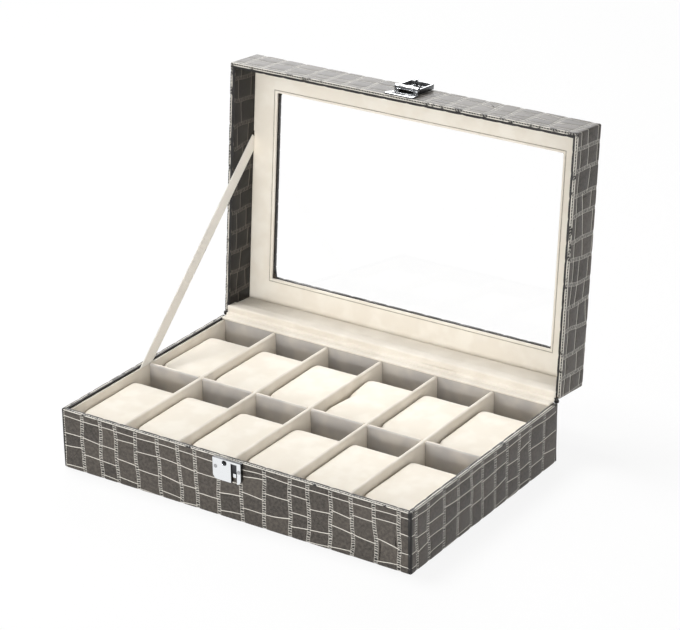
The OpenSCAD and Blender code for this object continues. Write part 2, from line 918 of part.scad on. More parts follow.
module hasp_pin() {
    reach = barrel_l / 2 + ear_gap + ear_l;
    color(STEEL)
        in_lid()
            bar_x(hasp_pin_r, -reach, reach, pivot_y, pivot_z);
}

base_floor_board();
base_front_board();
base_back_board();
base_side_board(-1);  // base_left_board
base_side_board(1);  // base_right_board
base_cover();
underside_felt();
base_front_lining();
base_back_lining();
base_left_lining();
base_right_lining();
floor_lining();
long_divider();
for (i = [1 : columns - 1])
    cross_divider(i);
for (i = [1 : columns]) {
    cushion(0, i);
    cushion(1, i);
}
lid_front_board();
lid_back_board();
lid_side_board(-1);  // lid_left_board
lid_side_board(1);  // lid_right_board
lid_top_board();
lid_cover();
lid_back_lining();
lid_side_lining();
glass_pane();
lid_inner_frame();
hinge_strip_base();
hinge_strip_lid();
base_leaf(-1);  // hinge_left_base_leaf
lid_leaf(-1);  // hinge_left_lid_leaf
hinge_pin(-1);  // hinge_left_pin
base_leaf(1);  // hinge_right_base_leaf
lid_leaf(1);  // hinge_right_lid_leaf
hinge_pin(1);  // hinge_right_pin
hinge_base_screws();
hinge_lid_screws();
ribbon_stay();
catch_case();
catch_rivets();
thumb_slide();
slide_spring();
hasp_plate();
hasp_rivets();
hasp();
hasp_pin();
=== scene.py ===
# %% [markdown]
# # A watch box with a window lid
#
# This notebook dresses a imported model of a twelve-place watch box. The model gives the boards, linings,
# hinges and the catch at their real sizes. Here each part gets the surface that its maker would give it:
# embossed leatherette, cream velvet, chrome and glass. Everything is in metres, with X along the front,
# Y to the back and Z up.

# %% Load the frame
import json
import math
import random

import bmesh
import bpy
from mathutils import Matrix, Vector, noise


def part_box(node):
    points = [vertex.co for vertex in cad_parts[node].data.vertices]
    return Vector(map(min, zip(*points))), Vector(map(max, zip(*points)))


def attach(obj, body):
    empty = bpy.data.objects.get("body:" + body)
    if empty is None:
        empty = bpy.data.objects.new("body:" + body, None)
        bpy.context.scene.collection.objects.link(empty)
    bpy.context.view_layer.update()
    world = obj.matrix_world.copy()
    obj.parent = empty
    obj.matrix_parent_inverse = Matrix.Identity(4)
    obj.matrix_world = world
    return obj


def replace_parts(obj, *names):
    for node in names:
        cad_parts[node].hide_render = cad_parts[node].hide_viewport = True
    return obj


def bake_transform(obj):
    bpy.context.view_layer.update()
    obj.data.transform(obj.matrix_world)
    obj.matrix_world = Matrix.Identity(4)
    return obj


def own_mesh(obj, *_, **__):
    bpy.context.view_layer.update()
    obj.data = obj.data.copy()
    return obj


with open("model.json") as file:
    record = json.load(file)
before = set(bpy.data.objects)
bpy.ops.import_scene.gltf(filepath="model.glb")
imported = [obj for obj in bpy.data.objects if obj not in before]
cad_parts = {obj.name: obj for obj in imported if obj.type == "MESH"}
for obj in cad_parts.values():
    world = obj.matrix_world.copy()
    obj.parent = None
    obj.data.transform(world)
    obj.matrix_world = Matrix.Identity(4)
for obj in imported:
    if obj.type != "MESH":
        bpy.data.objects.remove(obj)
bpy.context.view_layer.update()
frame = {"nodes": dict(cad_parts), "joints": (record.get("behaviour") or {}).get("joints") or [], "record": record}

MM = 0.001

# %% [markdown]
# ## Camera
#
# The camera stands to the right of the box and looks down at it with a long lens, which keeps the box's
# edges nearly parallel. It comes first, before the other cells.

# %% Camera
CAMERA_AT = (0.977705, -1.409614, 0.879817)
CAMERA_TURN = (66.08286, 0.6755, 33.68026)
SENSOR = 36
IMAGE_W = 680
FOCAL_PIXELS = 2630.15


def add_object(name, data):
    """A new object for some data, in the scene."""
    made = bpy.data.objects.new(name, data)
    bpy.context.scene.collection.objects.link(made)
    return made


def make_camera():
    data = bpy.data.cameras.new("camera")
    data.sensor_width = SENSOR
    data.lens = FOCAL_PIXELS / IMAGE_W * SENSOR
    data.clip_start, data.clip_end = 0.05, 50
    camera = add_object("camera", data)
    camera.location = CAMERA_AT
    camera.rotation_euler = [math.radians(a) for a in CAMERA_TURN]
    bpy.context.scene.camera = camera
    print("lens", round(data.lens, 1), "mm")


make_camera()

# %% [markdown]
# ## The shut lid
#
# The lid stands open, so its walls are all at a slant. It is easier to model a lid that lies square to the
# axes and to swing the finished mesh open. The lid's hinge joint gives the line and the angle.

# %% Swing between shut and open
def joint(name):
    return next(j for j in frame["joints"] if j["name"] == name)


hinge_joint = joint("lid_hinge")
hinge_at = Vector(hinge_joint["pos_m"])
open_angle = math.radians(-hinge_joint["range_deg"][0])
TO_OPEN = (Matrix.Translation(hinge_at)
           @ Matrix.Rotation(-open_angle, 4, "X")
           @ Matrix.Translation(-hinge_at))
TO_SHUT = TO_OPEN.inverted()


def shut_box(node):
    """Lowest and highest corner of a lid node, with the lid shut."""
    corners = [TO_SHUT @ v.co for v in frame["nodes"][node].data.vertices]
    low = Vector([min(c[i] for c in corners) for i in range(3)])
    high = Vector([max(c[i] for c in corners) for i in range(3)])
    return low, high


base_low, base_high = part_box("base_cover")
lid_low, lid_high = shut_box("lid_cover")
half_w, half_d = base_high.x, base_high.y
print("base rim at", round(base_high.z, 4), "lid from", round(lid_low.z, 4), "to", round(lid_high.z, 4))

# %% [markdown]
# ## Materials as arithmetic
#
# A procedural material is a sum of masks. The class below wraps a socket, so that a mask can be written as
# an expression, and `node` makes any other kind of node. Settings are given first, then sockets.

# %% Wires and nodes
class Wire:
    """A socket that can be used in arithmetic. Each operation adds a Math node."""

    def __init__(self, socket):
        self.socket = socket
        self.tree = socket.id_data

    def math(self, operation, *values):
        return node(self.tree, "ShaderNodeMath", {"operation": operation}, dict(enumerate(values)))

    def __add__(self, other):
        return self.math("ADD", self, other)

    def __mul__(self, other):
        return self.math("MULTIPLY", self, other)

    def __sub__(self, other):
        return self.math("SUBTRACT", self, other)

    def __rsub__(self, other):
        return self.math("SUBTRACT", other, self)

    __radd__ = __add__
    __rmul__ = __mul__

    def sine(self):
        return self.math("SINE", self)

    def largest(self, other):
        return self.math("MAXIMUM", self, other)

    def near(self, centre, reach):
        """1 at centre, falling to 0 at reach from it."""
        return 1 - self.math("ABSOLUTE", self - centre).step(0, reach)

    def step(self, low, high):
        """0 below low, 1 above high, smooth between."""
        return node(self.tree, "ShaderNodeMapRange", {"interpolation_type": "SMOOTHSTEP"},
                    {"Value": self, "From Min": low, "From Max": high})


def node(tree, kind, settings=None, sockets=None, out=0):
    """Adds a node, sets it up, joins its sockets and returns one of its outputs."""
    made = tree.nodes.new(kind)
    for name, value in (settings or {}).items():
        setattr(made, name, value)
    for name, value in (sockets or {}).items():
        if isinstance(value, Wire):
            tree.links.new(value.socket, made.inputs[name])
        else:
            made.inputs[name].default_value = value
    return Wire(made.outputs[out])


def grey(value):
    return (value, value, value, 1)


def colour(hex_code):
    """An sRGB hex code as the linear colour that a socket takes."""
    parts = [int(hex_code[i:i + 2], 16) / 255 for i in (1, 3, 5)]
    return tuple(p / 12.92 if p <= 0.04045 else ((p + 0.055) / 1.055) ** 2.4 for p in parts) + (1,)


def blend(factor, first, second):
    """Mixes two colours."""
    return node(factor.tree, "ShaderNodeMix", {"data_type": "RGBA"},
                {0: factor, 6: first, 7: second}, out=2)


def speckle(where, scale, detail=2.0, rough=0.5):
    """Noise in cells of about 1 / scale metres, around a half."""
    return node(where.tree, "ShaderNodeTexNoise", {}, {"Vector": where, "Scale": scale,
                "Detail": detail, "Roughness": rough})


def bump(height, distance, strength=1.0):
    return node(height.tree, "ShaderNodeBump", {}, {"Height": height, "Distance": distance,
                "Strength": strength})


def new_material(name, **constants):
    """A material with one Principled shader. Constants are set on its sockets."""
    material = bpy.data.materials.new(name)
    material.use_nodes = True
    shader = material.node_tree.nodes["Principled BSDF"]
    for socket, value in constants.items():
        shader.inputs[socket.replace("_", " ")].default_value = value
    return material, material.node_tree, shader


def connect(shader, **wires):
    for socket, wire in wires.items():
        wire.tree.links.new(wire.socket, shader.inputs[socket.replace("_", " ")])


def object_space(tree):
    return node(tree, "ShaderNodeTexCoord", out=3)


# %% [markdown]
# ## Velvet
#
# The linings and cushions are covered in cream velvet. Its pile gives a soft sheen at grazing angles, and
# it has been stroked flat in clouds a few centimetres wide. Fine noise in the bump breaks the surface into
# fibres. The pieces never carry a weave, so Object coordinates are enough. On the walls that face the front
# the flat faces are painted darker than their edges: painted shade, standing for the shade inside the cells.

# %% Velvet
def make_velvet(name, light, shade, cloud=45, wall_shade=None):
    """Velvet. Given a colour for the walls, the faces that aren't marked as cut edges take it, as painted shade.
    """
    material, tree, shader = new_material(name, Roughness=0.85, Sheen_Weight=0.35, Sheen_Roughness=0.45,
                                          Specular_IOR_Level=0.15)
    where = object_space(tree)
    stroked = speckle(where, cloud, 2).step(0.38, 0.66)
    fibres = speckle(where, 2600, 2)
    tufts = speckle(where, 700, 3)
    mixed = blend(stroked * 0.7 + fibres * 0.3, colour(shade), colour(light))
    # The walls' flat faces take the darker colour: painted shade.
    if wall_shade:
        edge = node(tree, "ShaderNodeAttribute", {"attribute_name": "cut"}, out=2)
        mixed = blend(edge, blend(stroked * 0.4, colour(wall_shade), colour(shade)), mixed)
    connect(shader, Base_Color=mixed, Normal=bump(fibres * 0.6 + tufts * 0.4, 0.25 * MM, 0.6))
    return material


VELVET = make_velvet("velvet", "#efe8dc", "#e3dbce")
CUSHION_VELVET = make_velvet("cushion_velvet", "#f6f0e4", "#eee6d8", 60)
# Cell walls whose flat faces are painted darker, as painted shade.
SHADED_WALL_VELVET = make_velvet("shaded_wall_velvet", "#efe8dc", "#e3dbce", 45, "#b8b4b1")
print("velvet:", VELVET.name, CUSHION_VELVET.name, SHADED_WALL_VELVET.name)

# %% [markdown]
# ## Embossed leatherette
#
# The covering is embossed like crocodile hide: columns of scales, parted by narrow bands with a ladder of
# tiny rungs, and crossed by thin curved lines. Pale pigment has been rubbed into the hollows. The sheet
# itself has the scales in its mesh, and stores how deep in a band or a line each corner is, so the material
# only adds rungs, pigment, painted shade, painted highlights and the fine grain. The hollows are painted
# darker, as painted shade. Where the sheet is folded over an edge it gathers in tiny wrinkles across the
# fold. The folds and the vertical corners are painted dark, as painted shade, and pale painted highlights
# run along the rims and over the wrinkles. Inside the lid the same sheet is darker.

# %% Leatherette
RUNG_PITCH = 1.9 * MM
FOLD_PITCH = 2.3 * MM
# Shares across a fold at which pale painted highlights run along the rim.
RIM_HIGHLIGHTS = (0.14, 0.42)
# Dark colour of painted shade on the folds and beside the vertical corners.
FOLD_AND_CORNER_SHADE = "#131110"


def make_leatherette(name, dark, light, valley, pale, gloss):
    """marks holds band, line and the place across a fold. edge is 1 along a vertical corner, where shade is
    painted.
    """
    material, tree, shader = new_material(name, Specular_IOR_Level=gloss)
    marks = node(tree, "ShaderNodeAttribute", {"attribute_name": "marks"})
    band = node(tree, "ShaderNodeSeparateColor", {}, {0: marks})
    line = Wire(band.socket.node.outputs[1])
    fold = Wire(band.socket.node.outputs[2])
    edge = node(tree, "ShaderNodeAttribute", {"attribute_name": "edge"}, out=2)
    tone = node(tree, "ShaderNodeAttribute", {"attribute_name": "tone"}, out=2)
    flat = node(tree, "ShaderNodeUVMap", {"uv_map": "hide"})
    across = node(tree, "ShaderNodeSeparateXYZ", {}, {0: flat})
    along = Wire(across.socket.node.outputs[1])
    wobble = speckle(flat, 300, 1)
    patches = speckle(flat, 110, 2)
    pores = speckle(flat, 1500, 3)
    wrinkles = speckle(flat, 420, 3)
    folded = fold.step(0.0, 0.02)
    ladder = band.step(0.10, 0.35) * (1 - folded)
    rungs = ((along + wobble * 0.0024) * (2 * math.pi / RUNG_PITCH)).sine().step(-0.3, 0.6) * ladder
    sides = band.near(0.22, 0.2) * (1 - folded)
    creases = line.step(0.2, 0.6) * (1 - folded) * patches.step(0.1, 0.3)
    # Pale painted highlights along the rim, in two lines.
    rim_highlights = fold.near(RIM_HIGHLIGHTS[0], 0.09).largest(fold.near(RIM_HIGHLIGHTS[1], 0.09))
    rim_highlights = rim_highlights * patches.step(0.36, 0.46)
    # The wrinkles across a fold: a real bump, and a pale painted highlight on each.
    twists = ((across + along * 0.7 + wobble * 0.002) * (2 * math.pi / FOLD_PITCH)).sine().step(-0.3, 0.8)
    twists = twists * fold.near(0.3, 0.2)
    corner = edge.step(0.05, 0.5)
    rubbed = (rungs * (sides * 0.45 + 0.5)).largest(sides * 0.4) * patches.step(0.12, 0.45)
    # Pale pigment, together with the rims' painted highlights.
    pigment_and_highlights = rubbed.largest(creases * 0.9).largest(rim_highlights).largest(twists * 0.4) * (1 - corner)
    hollow = band.largest(line).step(0.05, 0.5)
    worn = tone * 0.3 + wrinkles.step(0.3, 0.7) * 0.4 + pores.step(0.3, 0.7) * 0.3
    scale = blend(worn, colour(dark), colour(light))
    # The hollows take the dark valley colour: painted shade.
    scale = blend(hollow * 0.92, scale, colour(valley))
    # Folds and corners: painted shade.
    scale = blend(folded.largest(corner), scale, colour(FOLD_AND_CORNER_SHADE))
    connect(shader, Base_Color=blend(pigment_and_highlights, scale, colour(pale)),
            Roughness=0.32 + wrinkles * 0.2 + pigment_and_highlights * 0.2,
            Normal=bump(pores * 0.25 + wrinkles * 0.35 + rungs * 0.7 + twists * 0.8, 0.2 * MM, 0.8))
    return material


LEATHERETTE = make_leatherette("leatherette", "#1b1816", "#5f5850", "#141210", "#ece7dc", 0.34)
LEATHERETTE_INSIDE = make_leatherette("leatherette_inside", "#151312", "#262321", "#0b0a09", "#857e75", 0.3)
print("leatherette nodes:", len(LEATHERETTE.node_tree.nodes))

# %% [markdown]
# ## Metal, glass, ribbon and the hidden boards
#
# Chrome plate is a mirror with faint smears, the rivets and hinges are nickel-plated steel, and the ribbon
# has fine ribs across. The boards show only at their cut edges, so a speckled brown is enough.

# %% Metal
def make_metal(name, tint, dark_edge_reflection, low, spread):
    """Plated sheet metal. The face attribute "cut" is 1 on the edges, which take a dark colour: a painted
    reflection.
    """
    material, tree, shader = new_material(name, Metallic=1.0)
    where = object_space(tree)
    smears = speckle(where, 120, 3)
    scratches = speckle(where, 900, 2)
    edge = node(tree, "ShaderNodeAttribute", {"attribute_name": "cut"}, out=2)
    connect(shader, Base_Color=blend(edge * (0.8 + smears * 0.2), colour(tint), colour(dark_edge_reflection)),
            Roughness=low + smears * spread + edge * 0.2, Normal=bump(scratches, 0.01 * MM, 0.3))
    return material


# The edges of the plated parts are painted near-black: a painted reflection of dark surroundings.
CHROME = make_metal("chrome", "#eceef0", "#18181a", 0.05, 0.08)
STEEL = make_metal("plated_steel", "#a9aaac", "#242425", 0.25, 0.15)
# Dark steel for the thumb slide: painted shade for its plate inside the slot.
SHADED_STEEL = make_metal("shaded_steel", "#3c3c3e", "#161617", 0.3, 0.2)

# %% Glass
def make_glass():
    """Clear glass with a faint film of wiping marks in its roughness."""
    material, tree, shader = new_material("window_glass", Transmission_Weight=1.0, IOR=1.25,
                                          Base_Color=colour("#ffffff"))
    connect(shader, Roughness=speckle(object_space(tree), 30, 3).step(0.45, 1.0) * 0.03)
    return material


GLASS = make_glass()

# %% Ribbon, felt and board
def make_ribbon():
    material, tree, shader = new_material("ribbon", Roughness=0.6, Sheen_Weight=0.2)
    flat = node(tree, "ShaderNodeUVMap", {"uv_map": "run"})
    run = node(tree, "ShaderNodeSeparateXYZ", {}, {0: flat}, out=1)
    ribs = (run * (2 * math.pi / (0.9 * MM))).sine() * 0.5 + 0.5
    connect(shader, Base_Color=blend(ribs, colour("#efe9de"), colour("#fdfaf4")),
            Normal=bump(ribs, 0.12 * MM, 0.7))
    return material


def make_speckled(name, dark, light, rough, scale):
    material, tree, shader = new_material(name, Roughness=rough)
    where = object_space(tree)
    grains = speckle(where, scale, 3)
    connect(shader, Base_Color=blend(grains, colour(dark), colour(light)),
            Normal=bump(grains, 0.2 * MM, 0.5))
    return material


RIBBON_CLOTH = make_ribbon()
FELT = make_speckled("felt", "#17161a", "#2e2c30", 0.95, 1500)
BOARD = make_speckled("fibreboard", "#463b30", "#5f5142", 0.85, 700)
print("materials:", len(bpy.data.materials))

# %% [markdown]
# ## Softened boards
#
# Nothing that is wrapped in cloth has a knife edge. A copy of a node's mesh is merged, its flat faces are
# joined up, and its edges are bevelled by the thickness of the covering. The copy then stands for the node.

# %% Make an object from a mesh under construction
def to_object(bm, name, body, material, smooth_angle=40):
    mesh = bpy.data.meshes.new(name)
    bm.to_mesh(mesh)
    bm.free()
    return dress(mesh, name, body, material, smooth_angle)


def dress(mesh, name, body, material, smooth_angle=40):
    mesh.shade_smooth()
    mesh.set_sharp_from_angle(angle=math.radians(smooth_angle))
    mesh.materials.clear()
    mesh.materials.append(material)
    piece = add_object(name, mesh)
    if body:
        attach(piece, body)
    return piece


# %% Soften a node's edges
def mark_cut_edges(bm):
    """Marks the faces that turn away from a board's or a plate's main face."""
    cut_edge = bm.faces.layers.float.new("cut")
    bm.normal_update()
    main = max(bm.faces, key=lambda f: f.calc_area()).normal.copy()
    for face in bm.faces:
        face[cut_edge] = 1 if abs(face.normal.dot(main)) < 0.5 else 0


def soften(node_name, radius, body, material, segments=3):
    bm = bmesh.new()
    bm.from_mesh(frame["nodes"][node_name].data)
    bmesh.ops.remove_doubles(bm, verts=bm.verts, dist=0.002 * MM)
    bmesh.ops.dissolve_limit(bm, angle_limit=math.radians(1), verts=bm.verts, edges=bm.edges)
    sharp = [e for e in bm.edges if len(e.link_faces) == 2 and e.calc_face_angle() > math.radians(30)]
    bmesh.ops.bevel(bm, geom=sharp, offset=radius, affect="EDGES", segments=segments, profile=0.5,
                    material=-1, clamp_overlap=True)
    mark_cut_edges(bm)
    piece = to_object(bm, node_name + "_dressed", body, material)
    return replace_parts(piece, node_name)


plain = ["base_left_lining", "base_right_lining", "floor_lining"]
for name in plain + [f"cross_divider_{i}" for i in range(1, 6)]:
    soften(name, 0.5 * MM, "base", VELVET)
for name in ("base_front_lining", "long_divider", "base_back_lining"):
    soften(name, 0.5 * MM, "base", SHADED_WALL_VELVET)
soften("lid_inner_frame", 0.9 * MM, "lid", CUSHION_VELVET, 4)
soften("lid_back_lining", 0.5 * MM, "lid", VELVET)

# %% [markdown]
# ## A sheet of embossed hide
#
# The covering starts as one flat sheet. `bisect_plane` cuts it into columns, and each column into scales at
# heights of its own, so the rows don't line up. The whole sheet is then pushed about by smooth noise, which
# curves every line. An inset on each face sinks a valley round each scale. The sheet is narrowed about
# fourfold before the inset and widened after it, so the bands between columns come out that much wider than
# the lines between rows.

# %% Cut the scales
SCALE_W = 17.6 * MM
SCALE_H = 13.5 * MM
BAND = 4.2
VALLEY = 0.42 * MM
LEAN = 2.2 * MM
RELIEF = 0.22 * MM
PILLOW = 0.10 * MM
EMBOSSED = RELIEF + PILLOW
FURTHEST = 2.5 * VALLEY


def cut(bm, faces, at, normal):
    """Cuts some faces with a plane and returns the faces that they became."""
    around = [e for f in faces for e in f.edges] + [v for f in faces for v in f.verts]
    done = bmesh.ops.bisect_plane(bm, geom=faces + list(dict.fromkeys(around)), dist=1e-7,
                                  plane_co=at, plane_no=normal)
    return [g for g in done["geom"] if isinstance(g, bmesh.types.BMFace)]


def scale_grid(width, height, rng, lines):
    """A flat sheet from the origin, cut into columns and each column into scales.

    Lines are heights at which every column is cut, as the fold marks beside a rim are.
    """
    bm = bmesh.new()
    corners = [bm.verts.new((x, y, 0)) for x, y in ((0, 0), (width, 0), (width, height), (0, height))]
    right = bm.faces.new(corners)
    x = SCALE_W * rng.uniform(0.3, 0.9)
    while x < width - SCALE_W * 0.3:
        parts = cut(bm, [right], (x, height / 2, 0), (1, rng.uniform(-1, 1) * LEAN / height, 0))
        left, right = sorted(parts, key=lambda f: f.calc_center_median().x)
        cut_column(bm, left, height, rng, lines)
        x += SCALE_W * rng.uniform(0.82, 1.18)
    cut_column(bm, right, height, rng, lines)
    return bm


def cut_column(bm, face, height, rng, lines):
    heights, y = [], SCALE_H * rng.uniform(0.35, 1.0)
    while y < height - SCALE_H * 0.25:
        heights.append((y, rng.uniform(-0.12, 0.12)))
        y += SCALE_H * rng.uniform(0.78, 1.22)
    for line in lines:
        heights = [h for h in heights if abs(h[0] - line) > SCALE_H * 0.3] + [(line, 0)]
    for y, slope in sorted(heights):
        parts = cut(bm, [face], (face.calc_center_median().x, y, 0), (slope, 1, 0))
        face = max(parts, key=lambda f: f.calc_center_median().y)


# %% Bend the lines and press the valleys
SNAP = 1.6 * MM
SPACING_ACROSS = 6.5 * MM
SPACING_UP = 4 * MM
WANDER = 1.6 * MM
WANDER_ACROSS = 24 * MM
WANDER_UP = 17 * MM
STEADY_EDGE = 3 * MM
ELSEWHERE = Vector((9.3, 1.5, 7.9))


def cuts_wanted(edge):
    """How many cuts an edge takes. The sheet is narrowed later, so level edges take fewer."""
    run = edge.verts[0].co - edge.verts[1].co
    return int(abs(run.x) / SPACING_ACROSS + abs(run.y) / SPACING_UP)


def drift(x, y, seed):
    """A smooth push in the plane, made of two plain noises. noise_vector changes from run to run."""
    place = Vector((x / WANDER_ACROSS, y / WANDER_UP, seed + 0.5))
    return Vector((noise.noise(place), noise.noise(place + ELSEWHERE), 0))


def warp(bm, width, height, seed):
    """Pushes the inner vertices about smoothly, less near the sheet's border."""
    bmesh.ops.remove_doubles(bm, verts=bm.verts, dist=SNAP)
    wanted = {e: cuts_wanted(e) for e in bm.edges}
    for cuts in (1, 2, 3, 4):
        edges = [e for e, n in wanted.items() if n == cuts]
        bmesh.ops.bisect_edges(bm, edges=edges, cuts=cuts, edge_percents={})
    for v in bm.verts:
        x, y = v.co.x, v.co.y
        near = min(x, width - x, y, height - y)
        v.co += drift(x, y, seed) * WANDER * min(1, near / STEADY_EDGE)


def pull_back(rims, limit):
    """An even inset throws a vertex far out at an acute corner. This brings such vertices back."""
    for spoke in dict.fromkeys(edge for face in rims for edge in face.edges):
        low, high = sorted(spoke.verts, key=lambda v: v.co.z)
        run = (high.co - low.co).xy
        if high.co.z - low.co.z > PILLOW / 2 and run.length > limit:
            high.co.xy = low.co.xy + run * (limit / run.length)


def press(bm, rng):
    """Sinks the valleys, marks them red for a band and green for a line, and returns the scales."""
    tone = bm.faces.layers.float.new("tone")
    for face in bm.faces:
        face[tone] = rng.random()
    bmesh.ops.scale(bm, vec=(1 / BAND, 1, 1), verts=bm.verts)
    scales = bm.faces[:]
    rims = bmesh.ops.inset_individual(bm, faces=scales, thickness=VALLEY, depth=RELIEF,
                                      use_even_offset=True)["faces"]
    pull_back(rims, FURTHEST)
    pillow = bmesh.ops.inset_individual(bm, faces=scales, thickness=VALLEY * 0.9, depth=PILLOW,
                                        use_even_offset=True)["faces"]
    pull_back(pillow, FURTHEST)
    bmesh.ops.scale(bm, vec=(BAND, 1, 1), verts=bm.verts)
    marks = bm.loops.layers.float_color.new("marks")
    for face in bm.faces:
        for loop in face.loops:
            loop[marks] = (0, 0, 0, 1)
    for face in rims:
        low = [loop for loop in face.loops if loop.vert.co.z < RELIEF / 2]
        if len(low) < 2:
            continue
        edge = low[0].vert.co - low[1].vert.co
        upright = abs(edge.y) > abs(edge.x)
        for loop in low:
            loop[marks] = (1, 0, 0, 1) if upright else (0, 1, 0, 1)
    return scales


def mend_turned(bm, scales):
    """Collapses the shortest edge of each face that an inset has turned over, and levels the scales."""
    for _ in range(4):
        bm.normal_update()
        turned = [f for f in bm.faces if f.normal.z < 0.1]
        short = dict.fromkeys(min(f.edges, key=lambda e: e.calc_length()) for f in turned)
        bmesh.ops.collapse(bm, edges=list(short), uvs=False)
    for face in scales:
        for v in face.verts if face.is_valid else []:
            v.co.z = EMBOSSED


def keep_flat(bm, name, width=1, height=1):
    """Keeps each corner's place on the flat sheet as a UV map."""
    flat = bm.loops.layers.uv.new(name)
    for face in bm.faces:
        for loop in face.loops:
            loop[flat].uv = (loop.vert.co.x * width, loop.vert.co.y * height)


def hide_sheet(width, height, seed, lines=()):
    """A flat embossed sheet with its flat place kept as a UV map."""
    rng = random.Random(seed)
    bm = scale_grid(width, height, rng, lines)
    warp(bm, width, height, seed)
    mend_turned(bm, press(bm, rng))
    keep_flat(bm, "hide")
    return bm


# %% [markdown]
# ## Folding a sheet over an edge
#
# A cover follows a bent line: in under the box, up the wall, over the rim and down inside. `BentLine`
# rounds the corners of such a line and gives points along it with their outward directions. The flat sheet
# is cut where the line bends, and then each vertex is carried to its place.

# %% A line with round bends
class BentLine:
    """A line through points, with round bends, that gives the place at a distance along it."""

    def __init__(self, points, radii, steps=4):
        self.samples = []
        points = [Vector(p) for p in points]
        self.add(points[0], (points[1] - points[0]).normalized())
        for i in range(1, len(points) - 1):
            before = (points[i] - points[i - 1]).normalized()
            after = (points[i + 1] - points[i]).normalized()
            turn = before.angle_signed(after)
            back = radii[i - 1] * math.tan(abs(turn) / 2)
            start = points[i] - before * back
            side = -1 if turn > 0 else 1
            centre = start + side * radii[i - 1] * Vector((-before.y, before.x))
            for k in range(steps + 1):
                spin = Matrix.Rotation(-turn * k / steps, 2)
                self.add(centre + spin @ (start - centre), spin @ before)
        self.add(points[-1], (points[-1] - points[-2]).normalized())
        self.length = self.samples[-1][0]

    def add(self, point, along):
        """Keeps the distance so far, the point, and the direction that the sheet faces."""
        gone = 0
        if self.samples:
            last = self.samples[-1]
            gone = last[0] + (point - last[1]).length
            if gone - last[0] < 1e-7:
                return
        self.samples.append((gone, point.copy(), Vector((-along.y, along.x))))

    def bends(self):
        """The distances at which the sheet has to be cut."""
        return [s[0] for s in self.samples[1:-1]]

    def length_on_rim(self, height):
        """Distance to the middle of the level stretch at a rim's height."""
        return next((a[0] + b[0]) / 2 for a, b in zip(self.samples, self.samples[1:])
                    if abs(a[1].y - height) < 1e-7 and abs(b[1].y - height) < 1e-7)

    def at(self, distance):
        """Point and outward direction at a distance."""
        i = 1
        while i < len(self.samples) - 1 and self.samples[i][0] < distance:
            i += 1
        (a, p, n), (b, q, m) = self.samples[i - 1], self.samples[i]
        t = (distance - a) / (b - a)
        return p.lerp(q, t), n.lerp(m, t).normalized()


quarter = BentLine([(0, 0), (0, 0.01), (0.01, 0.01)], [0.001])
print("quarter bend:", [round(d * 1000, 2) for d in quarter.bends()])

# %% [markdown]
# Round the box the sheet follows a rectangle with small round corners. At the rims it lies further in, and
# there the rectangle shrinks, so the sides meet in a mitre as the folded corner of a real cover does.

# %% A route round the walls
class Round:
    """The way round a rectangle: straight sides and quarter bends, from the back left corner."""

    def __init__(self, half_x, half_y, radius, steps=3):
        self.half = (half_x, half_y)
        self.radius = radius
        self.steps = steps
        self.side = [2 * (half_y - radius), 2 * (half_x - radius)] * 2
        self.bend = radius * math.pi / 2
        self.length = sum(self.side) + 4 * self.bend

    def cuts(self):
        """Distances of the bends and the steps in them."""
        found, gone = [], 0
        for side in self.side:
            found += [gone + self.bend * k / self.steps for k in range(self.steps + 1)]
            gone += self.bend + side
        return [d for d in found if 0 < d < self.length]

    def at(self, distance, inset):
        """Point and outward direction, inset from the rectangle."""
        radius = max(self.radius - inset, 0.02 * MM)
        turned = 0
        while turned < 3 and distance > self.bend + self.side[turned]:
            distance -= self.bend + self.side[turned]
            turned += 1
        reach = [self.half[1] - inset - radius, self.half[0] - inset - radius]
        run, cross = reach[turned % 2], reach[1 - turned % 2]
        if distance < self.bend:
            angle = distance / self.bend * math.pi / 2
            point = Vector((-cross - radius * math.sin(angle), run + radius * math.cos(angle)))
            facing = Vector((-math.sin(angle), math.cos(angle)))
        else:
            along = (distance - self.bend) / self.side[turned]
            point = Vector((-cross - radius, run * (1 - 2 * along)))
            facing = Vector((-1, 0))
        spin = Matrix.Rotation(math.pi / 2 * turned, 2)
        return spin @ point, spin @ facing


def slice_all(bm, distances, axis):
    """Cuts the whole flat sheet across, at each distance along an axis."""
    normal = Vector((0, 0, 0))
    normal[axis] = 1
    for distance in distances:
        cut(bm, bm.faces[:], normal * distance, normal)


# The window flaps are marked as a fold at this place, which paints them dark as shade.
DARK_FOLD = 0.85


def mark_fold(bm, wall_side, far_side):
    """Marks a fold in blue: how far across it a corner lies, from the wall's side to the far side."""
    marks, flat = bm.loops.layers.float_color["marks"], bm.loops.layers.uv["hide"]
    low, high = sorted((wall_side, far_side))
    for face in bm.faces:
        if not low < face.calc_center_median().y < high:
            continue
        for loop in face.loops:
            share = (loop[flat].uv.y - wall_side) / (far_side - wall_side)
            loop[marks] = (0, 0, 0.05 + 0.95 * share, 1)


# Widths of the band of painted shade before and after each vertical corner.
SHADE_BEFORE = 1.7 * MM
SHADE_AFTER = 0.9 * MM


def mark_corners(bm, way):
    """Cuts beside each vertical corner and marks the dark edge there, where shade is painted."""
    bends, gone = [], 0
    for side in way.side:
        bends.append((gone, gone + way.bend))
        gone += way.bend + side
    beside = [d for a, b in bends for d in (a - SHADE_BEFORE, b + SHADE_AFTER)]
    slice_all(bm, [d for d in beside if 0 < d < way.length], 0)
    edge, flat = bm.loops.layers.float.new("edge"), bm.loops.layers.uv["hide"]
    for face in bm.faces:
        for loop in face.loops:
            x = loop[flat].uv.x
            away = [max((a - x) / SHADE_BEFORE, (x - b) / SHADE_AFTER, 0) for a, b in bends]
            loop[edge] = max(0, 1 - min(away))


